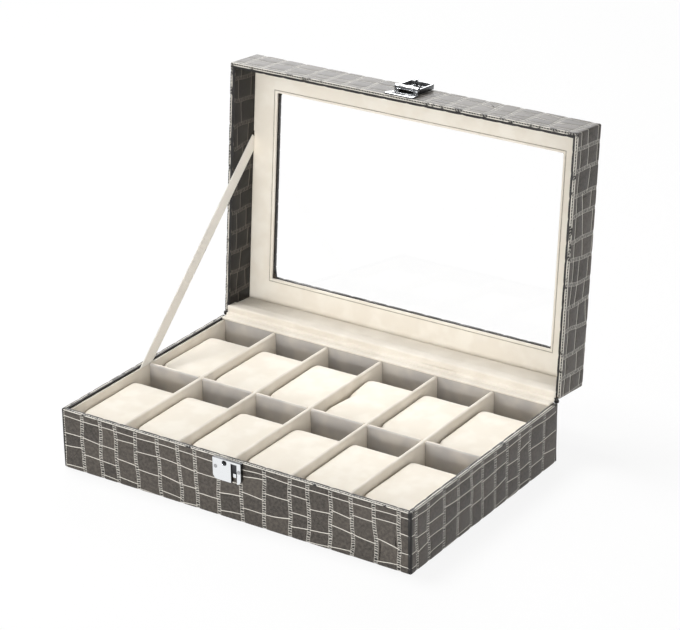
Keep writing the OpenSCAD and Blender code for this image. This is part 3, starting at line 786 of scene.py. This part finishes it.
def wrap_walls(bm, way, line):
    """Carries a flat sheet round the walls. The line holds inset and height above the table."""
    for v in bm.verts:
        (inset, height), (out_in, out_up) = line.at(v.co.y)
        point, facing = way.at(v.co.x, inset)
        sunk = v.co.z - EMBOSSED
        place = Vector((point.x, point.y, height))
        v.co = place - Vector((facing.x, facing.y, 0)) * out_in * sunk + Vector((0, 0, out_up * sunk))


# %% [markdown]
# ## The base's cover
#
# One sheet goes right round the base. It starts under the box, turns up over the walls, lies on the rim and
# tucks down inside to the linings. At the back the velvet hinge cloth covers the rim, so the sheet is
# trimmed off there, and it is notched for the two hinges.

# %% Trim and finish a sheet
COVER_T = 0.5 * MM


def trim(bm, inside):
    """Deletes the faces whose middle is inside a region."""
    gone = [f for f in bm.faces if inside(f.calc_center_median())]
    bmesh.ops.delete(bm, geom=gone, context="FACES")


def give_thickness(piece, thickness=COVER_T, offset=-1):
    solid = piece.modifiers.new("thickness", "SOLIDIFY")
    solid.thickness, solid.offset = thickness, offset
    return piece


# %% Base cover
CORNER_R = 1.2 * MM
EDGE_R = 0.9 * MM
HAIR = 0.01 * MM
rim_in = half_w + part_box("base_left_lining")[0].x
lining_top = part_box("base_front_lining")[1].z
TURN_IN = 8 * MM
FOLD_LINE = 5.5 * MM
lip = rim_in + 0.5 * MM
base_line = BentLine([(TURN_IN, base_low.z), (0, base_low.z), (0, base_high.z), (lip, base_high.z),
                      (lip, lining_top)], [EDGE_R, EDGE_R, 0.5 * MM])
walls = Round(half_w, half_d, CORNER_R)
leaf_low, leaf_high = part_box("hinge_right_base_leaf")
KNUCKLE_CLEAR = 2 * hinge_at.z - leaf_high.z - 0.1 * MM
print("rim is", round(rim_in * 1000, 2), "mm wide, sheet", round(base_line.length * 1000, 1), "mm tall")


def length_at_height(line, height):
    """Distance along a cover's line at which it reaches a height on the wall."""
    return next(a[0] + height - a[1].y for a, b in zip(line.samples, line.samples[1:])
                if a[1].y <= height <= b[1].y and abs(a[1].x - b[1].x) < 1e-6)


def length_on_back(way, x):
    """Distance round the walls of a place on the back wall."""
    return way.length - way.side[3] / 2 - x


def cut_at_leaves(bm):
    """Cuts at the walls' bends and at the hinge leaves, and returns each leaf's stretch of wall."""
    reach = [(length_on_back(walls, side * leaf_low.x), length_on_back(walls, side * leaf_high.x))
             for side in (-1, 1)]
    slice_all(bm, walls.cuts() + [x for pair in reach for x in pair], 0)
    return reach


def make_base_cover():
    fold_lines = [length_at_height(base_line, base_high.z - FOLD_LINE),
                  base_line.length_on_rim(base_high.z)]
    bm = hide_sheet(walls.length, base_line.length, 11, fold_lines)
    notch_z = length_at_height(base_line, KNUCKLE_CLEAR)
    rim_z = length_at_height(base_line, base_high.z - EDGE_R - HAIR)
    slice_all(bm, base_line.bends() + [notch_z, rim_z], 1)
    mark_fold(bm, rim_z, base_line.length)
    reach = cut_at_leaves(bm)
    mark_corners(bm, walls)
    trim(bm, lambda c: c.y > rim_z and walls.length - walls.side[3] < c.x < walls.length)
    trim(bm, lambda c: c.y > notch_z and any(min(p) < c.x < max(p) for p in reach))
    wrap_walls(bm, walls, base_line)
    piece = to_object(bm, "base_hide", "base", LEATHERETTE, 60)
    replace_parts(piece, "base_cover")
    return give_thickness(piece)


base_hide = make_base_cover()
print("base cover faces:", len(base_hide.data.polygons))

# %% [markdown]
# ## The lid's cover
#
# The lid's walls are wrapped in the same way, upside down: the sheet starts inside the rim, turns under it,
# goes up the wall and a little way over the top. It is modelled on the shut lid and then swung open.

# %% Lid cover
TOP_TURN = 3 * MM
WRAP_T = 0.8 * MM
lid_rim_in = half_w - shut_box("lid_side_lining")[1].x
LIP = WRAP_T - 0.1 * MM
lid_line = BentLine([(lid_rim_in + LIP, lid_low.z + 1.6 * MM), (lid_rim_in + LIP, lid_low.z),
                     (0, lid_low.z), (0, lid_high.z), (TOP_TURN, lid_high.z)],
                    [0.4 * MM, EDGE_R, EDGE_R])


def swing_open(piece):
    piece.data.transform(TO_OPEN)
    return piece


def make_lid_cover():
    fold_lines = [length_at_height(lid_line, lid_low.z + FOLD_LINE), lid_line.length_on_rim(lid_low.z)]
    bm = hide_sheet(walls.length, lid_line.length, 23, fold_lines)
    notch_z = length_at_height(lid_line, 2 * hinge_at.z - KNUCKLE_CLEAR)
    rim_z = length_at_height(lid_line, lid_low.z + EDGE_R + HAIR)
    top_z = length_at_height(lid_line, lid_high.z - EDGE_R - HAIR)
    slice_all(bm, lid_line.bends() + [notch_z, rim_z, top_z], 1)
    mark_fold(bm, rim_z, 0)
    mark_fold(bm, top_z, lid_line.length)
    reach = cut_at_leaves(bm)
    trim(bm, lambda c: c.y < rim_z and walls.length - walls.side[3] < c.x < walls.length)
    trim(bm, lambda c: c.y < notch_z and any(min(p) < c.x < max(p) for p in reach))
    wrap_walls(bm, walls, lid_line)
    piece = to_object(bm, "lid_hide", "lid", LEATHERETTE, 60)
    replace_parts(piece, "lid_cover")
    return give_thickness(swing_open(piece))


lid_hide = make_lid_cover()
print("lid cover faces:", len(lid_hide.data.polygons))

# %% [markdown]
# The top panel is a sheet of its own, laid over the turned edges. It is cut out for the window with a flap
# on each side, and the flaps are folded down to the glass.

# %% Top panel
glass_top = shut_box("glass_pane")[1].z
frame_z = shut_box("lid_inner_frame")[0].z
BORDER = 25 * MM
window = Vector((half_w - BORDER, half_d - BORDER))
FLAP = lid_high.z - glass_top - 0.1 * MM
flap_line = BentLine([(-BORDER, 0), (0, 0), (0, -FLAP)], [0.6 * MM])


def make_lid_top():
    size = Vector((half_w - TOP_TURN + 0.6 * MM, half_d - TOP_TURN + 0.6 * MM)) * 2
    bm = hide_sheet(size.x, size.y, 37)
    for axis in (0, 1):
        edge = size[axis] / 2 - window[axis]
        lines = [edge + d - BORDER for d in flap_line.bends() + [flap_line.length]]
        slice_all(bm, lines + [size[axis] - d for d in lines], axis)
    bmesh.ops.translate(bm, verts=bm.verts, vec=(-size.x / 2, -size.y / 2, 0))

    def past(c):
        return [abs(c.x) - window.x, abs(c.y) - window.y]

    trim(bm, lambda c: max(past(c)) < -(flap_line.length - BORDER))
    trim(bm, lambda c: max(past(c)) < 0 and min(past(c)) > -(flap_line.length - BORDER))
    marks = bm.loops.layers.float_color["marks"]
    for face in bm.faces:
        for loop in face.loops:
            # The flaps down to the glass take the fold's dark colour: painted shade.
            if max(past(loop.vert.co)) < 0.2 * MM:
                loop[marks] = (0, 0, DARK_FOLD, 1)
    for v in bm.verts:
        gaps = past(v.co)
        axis = 0 if gaps[0] > gaps[1] else 1
        beyond = -gaps[axis]
        sunk = v.co.z - EMBOSSED
        if beyond + BORDER <= flap_line.bends()[0]:
            v.co.z = lid_high.z + sunk
            continue
        (over, down), (out_x, out_z) = flap_line.at(min(beyond + BORDER, flap_line.length))
        sign = 1 if v.co[axis] > 0 else -1
        v.co[axis] = sign * (window[axis] - over - out_x * sunk)
        v.co.z = lid_high.z + down + out_z * sunk
    piece = to_object(bm, "lid_top_hide", "lid", LEATHERETTE, 60)
    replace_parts(piece, "lid_cover")
    return give_thickness(swing_open(piece))


lid_top_hide = make_lid_top()
print("top panel faces:", len(lid_top_hide.data.polygons))

# %% [markdown]
# ## The lid's inner walls
#
# Inside, the left, front and right walls are lined with the same leatherette. Each wall gets its own strip,
# facing inwards.

# %% Inner wall strips
inner_half = Vector((half_w - lid_rim_in - WRAP_T, half_d - lid_rim_in - WRAP_T))


def make_inner_strip(name, turn, length, out, seed):
    """A strip on one inner wall. turn is the wall's direction about Z, and out its distance."""
    low, high = lid_low.z + 1.0 * MM, frame_z + 0.6 * MM
    bm = hide_sheet(length, high - low, seed)
    spin = Matrix.Rotation(turn, 3, "Z")
    for v in bm.verts:
        sunk = v.co.z - EMBOSSED
        v.co = spin @ Vector((length / 2 - v.co.x, -out + sunk, low + v.co.y))
    piece = to_object(bm, name, "lid", LEATHERETTE_INSIDE, 60)
    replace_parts(piece, "lid_side_lining")
    return give_thickness(swing_open(piece))


make_inner_strip("lid_front_strip", 0, 2 * inner_half.x, inner_half.y, 41)
make_inner_strip("lid_right_strip", math.pi / 2, 2 * inner_half.y, inner_half.x, 43)
make_inner_strip("lid_left_strip", -math.pi / 2, 2 * inner_half.y, inner_half.x, 47)
print("inner strips made")

# %% [markdown]
# ## The line round the window
#
# A thin grey line of painted shade runs all the way round the window, beside the frame's opening. A square
# face, inset by the line's width, emptied in the middle and dressed in darker velvet, makes it.

# %% Window line of painted shade
SHADOW_LINE_AT = 2.3 * MM
SHADOW_LINE_W = 0.7 * MM
SHADOW_LINE_T = 0.24 * MM
# Darker velvet for the line round the window: painted shade.
SHADOW_LINE_VELVET = make_velvet("shadow_line_velvet", "#c3bbae", "#aea699", 300)


def make_window_shadow_line():
    bm = bmesh.new()
    bmesh.ops.create_grid(bm, x_segments=1, y_segments=1, size=1)
    bmesh.ops.scale(bm, vec=(window.x + SHADOW_LINE_AT, window.y + SHADOW_LINE_AT, 1), verts=bm.verts)
    middle = bm.faces[:]
    bmesh.ops.inset_region(bm, faces=middle, thickness=SHADOW_LINE_W, use_boundary=True, use_even_offset=True)
    bmesh.ops.delete(bm, geom=middle, context="FACES")
    bmesh.ops.translate(bm, verts=bm.verts, vec=(0, 0, frame_z))
    piece = to_object(bm, "window_shadow_line", "lid", SHADOW_LINE_VELVET)
    return swing_open(give_thickness(piece, SHADOW_LINE_T, 0))


window_shadow_line = make_window_shadow_line()
print("window crease faces:", len(window_shadow_line.data.polygons))

# %% [markdown]
# ## Tabs at the ends of the hinge line
#
# At each end of the hinge line a bit of leatherette is folded into a dark tab, which closes the gap behind
# the velvet. The tab is partly real and partly painted shade: its dark colour stands for the shadow in that
# gap. It is a small flattened sphere, dented by noise, and thin enough for the lid to stand behind it
# and to shut in front of it.

# %% Hinge tabs, dark as painted shade
TAB_R = Vector((2.4, 0.9, 2.3)) * MM
TAB_AT = Vector((half_w - TAB_R.x, half_d + 0.95 * MM, base_high.z + 0.9 * MM))
TAB_DENTS = 0.16
TAB_DENT_SCALE = 1.4


def make_hinge_shadow_tab(side):
    bm = bmesh.new()
    bmesh.ops.create_uvsphere(bm, u_segments=16, v_segments=10, radius=1)
    for v in bm.verts:
        bulge = 1 + TAB_DENTS * noise.noise(v.co * TAB_DENT_SCALE + Vector((side, 0, 0)))
        v.co = Vector((side * TAB_AT.x, TAB_AT.y, TAB_AT.z)) + v.co * TAB_R * min(bulge, 1)
    return to_object(bm, "hinge_shadow_tab_right" if side > 0 else "hinge_shadow_tab_left", "base",
                     LEATHERETTE_INSIDE, 80)


for side in (-1, 1):
    make_hinge_shadow_tab(side)
print("hinge tabs made")

# %% [markdown]
# ## The hinge cloth
#
# A strip of velvet hides the hinge line. It is glued to the base's rim and to the lid's rim and is loose in
# between, where it lies over the knuckles in low folds.

# %% Hinge cloth
CLOTH_T = 0.5 * MM
GLUE = 0.05 * MM
OVERHANG = 0.9 * MM
LOOSEST = 0.42                                  # share of the cloth's width
LOOSE_REACH = 3.5 * MM
CLOTH_FOLD_L, CLOTH_FOLD_W, CLOTH_FOLD_H = 35 * MM, 4 * MM, 0.8 * MM
KNUCKLE_R = leaf_high.y - hinge_at.y
strip_low, strip_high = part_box("hinge_strip_base")
lid_strip_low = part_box("hinge_strip_lid")[0]
lid_back_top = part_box("lid_back_lining")[1].z


def make_hinge_cloth():
    rim_z = strip_high.z + 0.15 * MM
    crease = Vector((hinge_at.y - KNUCKLE_R - 0.4 * MM, rim_z))
    shoulder = Vector((hinge_at.y - 1.4 * MM, hinge_at.z + KNUCKLE_R))
    foot = Vector((lid_strip_low.y - 0.25 * MM, lid_strip_low.z + 0.6 * MM))
    front = strip_low.y - OVERHANG
    head = Vector((lid_strip_low.y - 0.15 * MM, lid_back_top + 0.3 * MM))
    line = BentLine([(front, strip_low.z - 0.5 * MM), (front, rim_z), crease, shoulder, foot, head,
                     (head.x + 9 * MM, head.y - 0.5 * MM)],
                    [0.5 * MM, 0.5 * MM, 0.5 * MM, 0.5 * MM, 1.0 * MM])
    half = strip_high.x
    bm = bmesh.new()
    bmesh.ops.create_grid(bm, x_segments=120, y_segments=1, size=0.5)
    bmesh.ops.scale(bm, vec=(2 * half, line.length, 1), verts=bm.verts)
    bmesh.ops.translate(bm, vec=(0, line.length / 2, 0), verts=bm.verts)
    slice_all(bm, line.bends() + [line.length * k / 24 for k in range(1, 24)], 1)
    keep_flat(bm, "run")
    for v in bm.verts:
        slack = max(noise.noise(Vector((v.co.x / CLOTH_FOLD_L, v.co.y / CLOTH_FOLD_W, 3))), 0)
        loose = math.exp(-((v.co.y - line.length * LOOSEST) / LOOSE_REACH) ** 2)
        point, facing = line.at(v.co.y)
        point += facing * (GLUE + CLOTH_FOLD_H * slack * loose)
        v.co = Vector((v.co.x, point.x, point.y))
    bmesh.ops.recalc_face_normals(bm, faces=bm.faces)
    piece = give_thickness(to_object(bm, "hinge_cloth", None, VELVET, 80), CLOTH_T, 0)
    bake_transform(piece)
    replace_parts(piece, "hinge_strip_base", "hinge_strip_lid")
    return piece


hinge_cloth = make_hinge_cloth()
print("hinge cloth faces:", len(hinge_cloth.data.polygons))

# %% [markdown]
# ## The ribbon stay
#
# A flat ribbon runs taut from the base's left wall to the lid and stops it from falling back. It is one
# strip with its ribs stored in a UV map.

# %% Ribbon
RIBBON_T = 0.35 * MM
RIBBON_CUP = 0.1 * MM
RIBBON_BENDS = (0.08, 0.98)                     # shares of its length


def make_ribbon_stay():
    band = frame["nodes"]["ribbon_stay"].data
    corners = {tuple(round(c, 6) for c in v.co) for v in band.vertices}
    corners = [Vector(c) for c in sorted(corners, key=lambda c: c[2])]
    start, end = sum(corners[:4], Vector()) / 4, sum(corners[-4:], Vector()) / 4
    over = Vector((0, start.z - end.z, end.y - start.y))
    flank = [c for c in corners if over.dot(c - (start + end) / 2) < 0]
    along = Vector((0, *(flank[-1] - flank[0]).yz)).normalized()
    across = Vector((0, -along.z, along.y))
    reach = [across.dot(c) for c in corners]
    width = max(reach) - min(reach)
    length = along.dot(end - start)
    start += across * ((max(reach) + min(reach)) / 2 - across.dot(start))
    bm = bmesh.new()
    bmesh.ops.create_grid(bm, x_segments=8, y_segments=90, size=0.5)
    keep_flat(bm, "run", width, length)
    for v in bm.verts:
        edge = Vector((abs(v.co.x) * RIBBON_CUP, 0, 0))
        v.co = start + along * length * (v.co.y + 0.5) + across * v.co.x * width + edge
    piece = give_thickness(to_object(bm, "ribbon", None, RIBBON_CLOTH, 80), RIBBON_T, 0)
    first, last = (start + along * length * share for share in RIBBON_BENDS)
    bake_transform(piece)
    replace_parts(piece, "ribbon_stay")
    print("ribbon", round(length * 1000), "mm long,", round(width * 1000, 1), "mm wide")
    return piece


make_ribbon_stay()

# %% [markdown]
# ## The cushions
#
# Each cushion is foam in a velvet cover, a block with round front and back that a watch strap closes
# around. A cloth simulation with a little air pressure gives it tight, crowned sides. All twelve run
# together, each from its own slightly turned start, and none may stand out of its CAD solid's box by more
# than a quarter of a millimetre.

# %% Start shapes
CUSHION_VOXEL = 2.6 * MM
CUSHION_END_R = 1.5 * MM
CUSHION_ROUND = 14 * MM
CUSHION_SLACK = Vector((0.7, 1.8, 1.2)) * MM
STAND_PROUD = 0.25 * MM
LAID_TURN = 1.1                                 # degrees
LAID_Y, LAID_Z = 0.5, 0.3                       # millimetres


def cushion_block(name, rng):
    """A block with round front and back, a little smaller than the cushion and slightly turned."""
    low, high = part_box(name)
    size, middle = high - low, (low + high) / 2
    bm = bmesh.new()
    bmesh.ops.create_cube(bm, size=1)
    bmesh.ops.scale(bm, vec=size - CUSHION_SLACK, verts=bm.verts)
    along_x = [e for e in bm.edges if abs((e.verts[0].co - e.verts[1].co).x) > size.x / 2]
    bmesh.ops.bevel(bm, geom=along_x, offset=CUSHION_ROUND, affect="EDGES", segments=8, profile=0.5,
                    material=-1)
    ends = [e for e in bm.edges if abs(e.verts[0].co.x - e.verts[1].co.x) < 1e-6]
    bmesh.ops.bevel(bm, geom=ends, offset=CUSHION_END_R, affect="EDGES", segments=3, profile=0.5,
                    material=-1)
    turn = Matrix.Rotation(math.radians(rng.uniform(-LAID_TURN, LAID_TURN)), 4, "X")
    bmesh.ops.rotate(bm, verts=bm.verts, cent=(0, 0, 0), matrix=turn)
    shift = Vector((0, rng.uniform(-LAID_Y, LAID_Y), rng.uniform(-LAID_Z, LAID_Z))) * MM
    bmesh.ops.translate(bm, verts=bm.verts, vec=middle + shift)
    return bm


# %% Inflate and settle
FRAMES = 20
PRESSURE = 2.5
STIFFNESS = 20


def baked_mesh(piece):
    """The piece's mesh with its modifiers applied."""
    graph = bpy.context.evaluated_depsgraph_get()
    mesh = bpy.data.meshes.new_from_object(piece.evaluated_get(graph))
    piece.modifiers.clear()
    return mesh


def start_cloth(piece):
    remesh = piece.modifiers.new("remesh", "REMESH")
    remesh.mode, remesh.voxel_size = "VOXEL", CUSHION_VOXEL
    piece.data = baked_mesh(piece)
    cloth = piece.modifiers.new("cloth", "CLOTH")
    cloth.settings.use_pressure = True
    cloth.settings.uniform_pressure_force = PRESSURE
    cloth.settings.tension_stiffness = cloth.settings.compression_stiffness = STIFFNESS
    cloth.settings.effector_weights.gravity = 0
    cloth.point_cache.frame_start, cloth.point_cache.frame_end = 1, FRAMES


def spread(mesh):
    """Size of a mesh's box."""
    reach = [[v.co[i] for v in mesh.vertices] for i in range(3)]
    return Vector([max(r) - min(r) for r in reach])


def settle(mesh, name):
    """Keeps a puffed cushion in its place: flat on the tray and inside its solid's box."""
    low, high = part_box(name)
    for v in mesh.vertices:
        v.co = Vector([min(max(c, a - STAND_PROUD), b + STAND_PROUD) for c, a, b in zip(v.co, low, high)])


def make_cushions(names):
    blocks = {}
    for name in names:
        bm = cushion_block(name, random.Random(name))
        mesh = bpy.data.meshes.new(name + "_velvet")
        bm.to_mesh(mesh)
        bm.free()
        blocks[name] = add_object(name + "_velvet", mesh)
    for block in blocks.values():
        start_cloth(block)
    slack = {name: spread(block.data) for name, block in blocks.items()}
    for step in range(1, FRAMES + 1):
        bpy.context.scene.frame_set(step)
    for name, block in blocks.items():
        block.data = baked_mesh(block)
        puffed = (spread(block.data) - slack[name]) * 1000
        settle(block.data, name)
        print(name, "grew by", [round(d, 2) for d in puffed], "mm")
    bpy.context.scene.frame_set(1)
    for name, block in blocks.items():
        mesh = block.data
        bpy.data.objects.remove(block)
        piece = dress(mesh, name + "_velvet", name, CUSHION_VELVET, 60)
        finer = piece.modifiers.new("finer", "SUBSURF")
        finer.levels = finer.render_levels = 1
        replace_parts(piece, name)


CUSHIONS = [f"cushion_{row}_{i}" for row in ("front", "back") for i in range(1, 7)]
make_cushions(CUSHIONS)
print("cushions:", len(CUSHIONS))

# %% [markdown]
# ## The catch and the other parts
#
# The catch's pressed parts have the right shape already, but sheet metal has no sharp edges, so they are
# softened like the boards, by much less. Everything that is left keeps its CAD mesh and gets a material.

# %% Catch
plated = (("catch_case", "base", 0.25), ("hasp", "hasp", 0.25), ("hasp_plate", "lid", 0.2))
for name, body, radius in plated:
    soften(name, radius * MM, body, CHROME, 2)
thumb_slide = soften("thumb_slide", 0.15 * MM, "thumb_slide", SHADED_STEEL, 2)


def brighten_nib(piece, front_y):
    """Gives bright chrome to the part of the slide that stands out of the case; the rest stays dark as painted
    shade.
    """
    piece.data.materials.append(CHROME)
    for face in piece.data.polygons:
        face.material_index = 1 if face.center.y < front_y else 0


brighten_nib(thumb_slide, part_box("catch_case")[0].y - 0.05 * MM)

# %% The thumb slide's spring
def make_spring():
    travel = joint("thumb_slide_travel")["range_m"][1]
    low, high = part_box("slide_spring")
    mesh = frame["nodes"]["slide_spring"].data.copy()
    piece = dress(mesh, "slide_spring_coil", "base", STEEL, 60)
    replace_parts(piece, "slide_spring")
    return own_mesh(piece, "thumb_slide_travel", axis=(0, 0, 1), anchor=low,
                     keep=1 - travel / (high.z - low.z))


make_spring()
print("spring made")

# %% Materials of the CAD nodes that still show
by_slot = {"fibreboard": BOARD, "felt": FELT, "window_glass": GLASS, "plated_steel": STEEL,
           "bright_chrome": CHROME, "lining_velvet": VELVET}
slots = {row["node"]: row["material_slot"] for row in frame["record"]["subparts"]}
for name, piece in frame["nodes"].items():
    if not piece.hide_render:
        piece.data.materials.clear()
        piece.data.materials.append(by_slot[slots[name]])
frame["nodes"]["glass_pane"].visible_shadow = False
print("CAD nodes shown:", sum(not o.hide_render for o in frame["nodes"].values()))

# %% [markdown]
# ## Floor, world and lamps
#
# The box stands on a plain white floor in an even white tent. The world lights it at a quarter of full
# strength, and the camera, mirrors and glass see it as full white. Four soft lamps do the rest.

# %% Floor
FLOOR_SIZE = 12
FLOOR_GLOW = 0.88


def ray_kind(tree, *kinds):
    """1 for rays of these kinds. The outputs of Light Path are told apart by name."""
    path = node(tree, "ShaderNodeLightPath")
    masks = [Wire(path.socket.node.outputs[kind]) for kind in kinds]
    total = masks[0]
    for mask in masks[1:]:
        total = total.largest(mask)
    return total


def make_floor():
    material, tree, shader = new_material("floor", Base_Color=colour("#fafafa"), Roughness=0.9,
                                          Specular_IOR_Level=0.0)
    glow = node(tree, "ShaderNodeEmission", {}, {"Color": grey(1), "Strength": 1.0})
    seen = ray_kind(tree, "Is Camera Ray", "Is Glossy Ray", "Is Transmission Ray")
    lit = Wire(shader.outputs[0])
    mixed = node(tree, "ShaderNodeMixShader", {}, {0: seen * FLOOR_GLOW, 1: lit, 2: glow})
    tree.links.new(mixed.socket, tree.nodes["Material Output"].inputs["Surface"])
    bm = bmesh.new()
    bmesh.ops.create_grid(bm, x_segments=1, y_segments=1, size=FLOOR_SIZE / 2)
    mesh = bpy.data.meshes.new("floor")
    bm.to_mesh(mesh)
    bm.free()
    mesh.materials.append(material)
    add_object("floor", mesh)


make_floor()

# %% World
WORLD_LEVEL = 0.23


def make_world():
    world = bpy.data.worlds.new("tent")
    world.use_nodes = True
    tree = world.node_tree
    tree.nodes.clear()
    light = node(tree, "ShaderNodeBackground", {}, {"Color": grey(1), "Strength": WORLD_LEVEL})
    white = node(tree, "ShaderNodeBackground", {}, {"Color": grey(1), "Strength": 1.0})
    seen = ray_kind(tree, "Is Camera Ray", "Is Glossy Ray", "Is Transmission Ray")
    mixed = node(tree, "ShaderNodeMixShader", {}, {0: seen, 1: light, 2: white})
    output = tree.nodes.new("ShaderNodeOutputWorld")
    tree.links.new(mixed.socket, output.inputs["Surface"])
    bpy.context.scene.world = world


make_world()

# %% Lamps
AIM = Vector((0, 0, 80)) * MM


def make_lamp(name, at, size, power):
    data = bpy.data.lights.new(name, "AREA")
    data.shape, data.size, data.energy = "DISK", size, power
    lamp = add_object(name, data)
    lamp.location = at
    lamp.rotation_euler = (Vector(at) - AIM).to_track_quat("Z", "Y").to_euler()
    print(name, power, "W")


make_lamp("key", (-0.65, 0.08, 1.7), 0.8, 24)
make_lamp("front", (-0.1, -2.0, 0.2), 0.4, 21)
make_lamp("right", (1.7, -0.6, 0.5), 0.7, 6.5)
make_lamp("gloss", (-1.5, 2.2, 1.25), 1.6, 22)

# %% View transform
bpy.context.scene.view_settings.view_transform = "Standard"
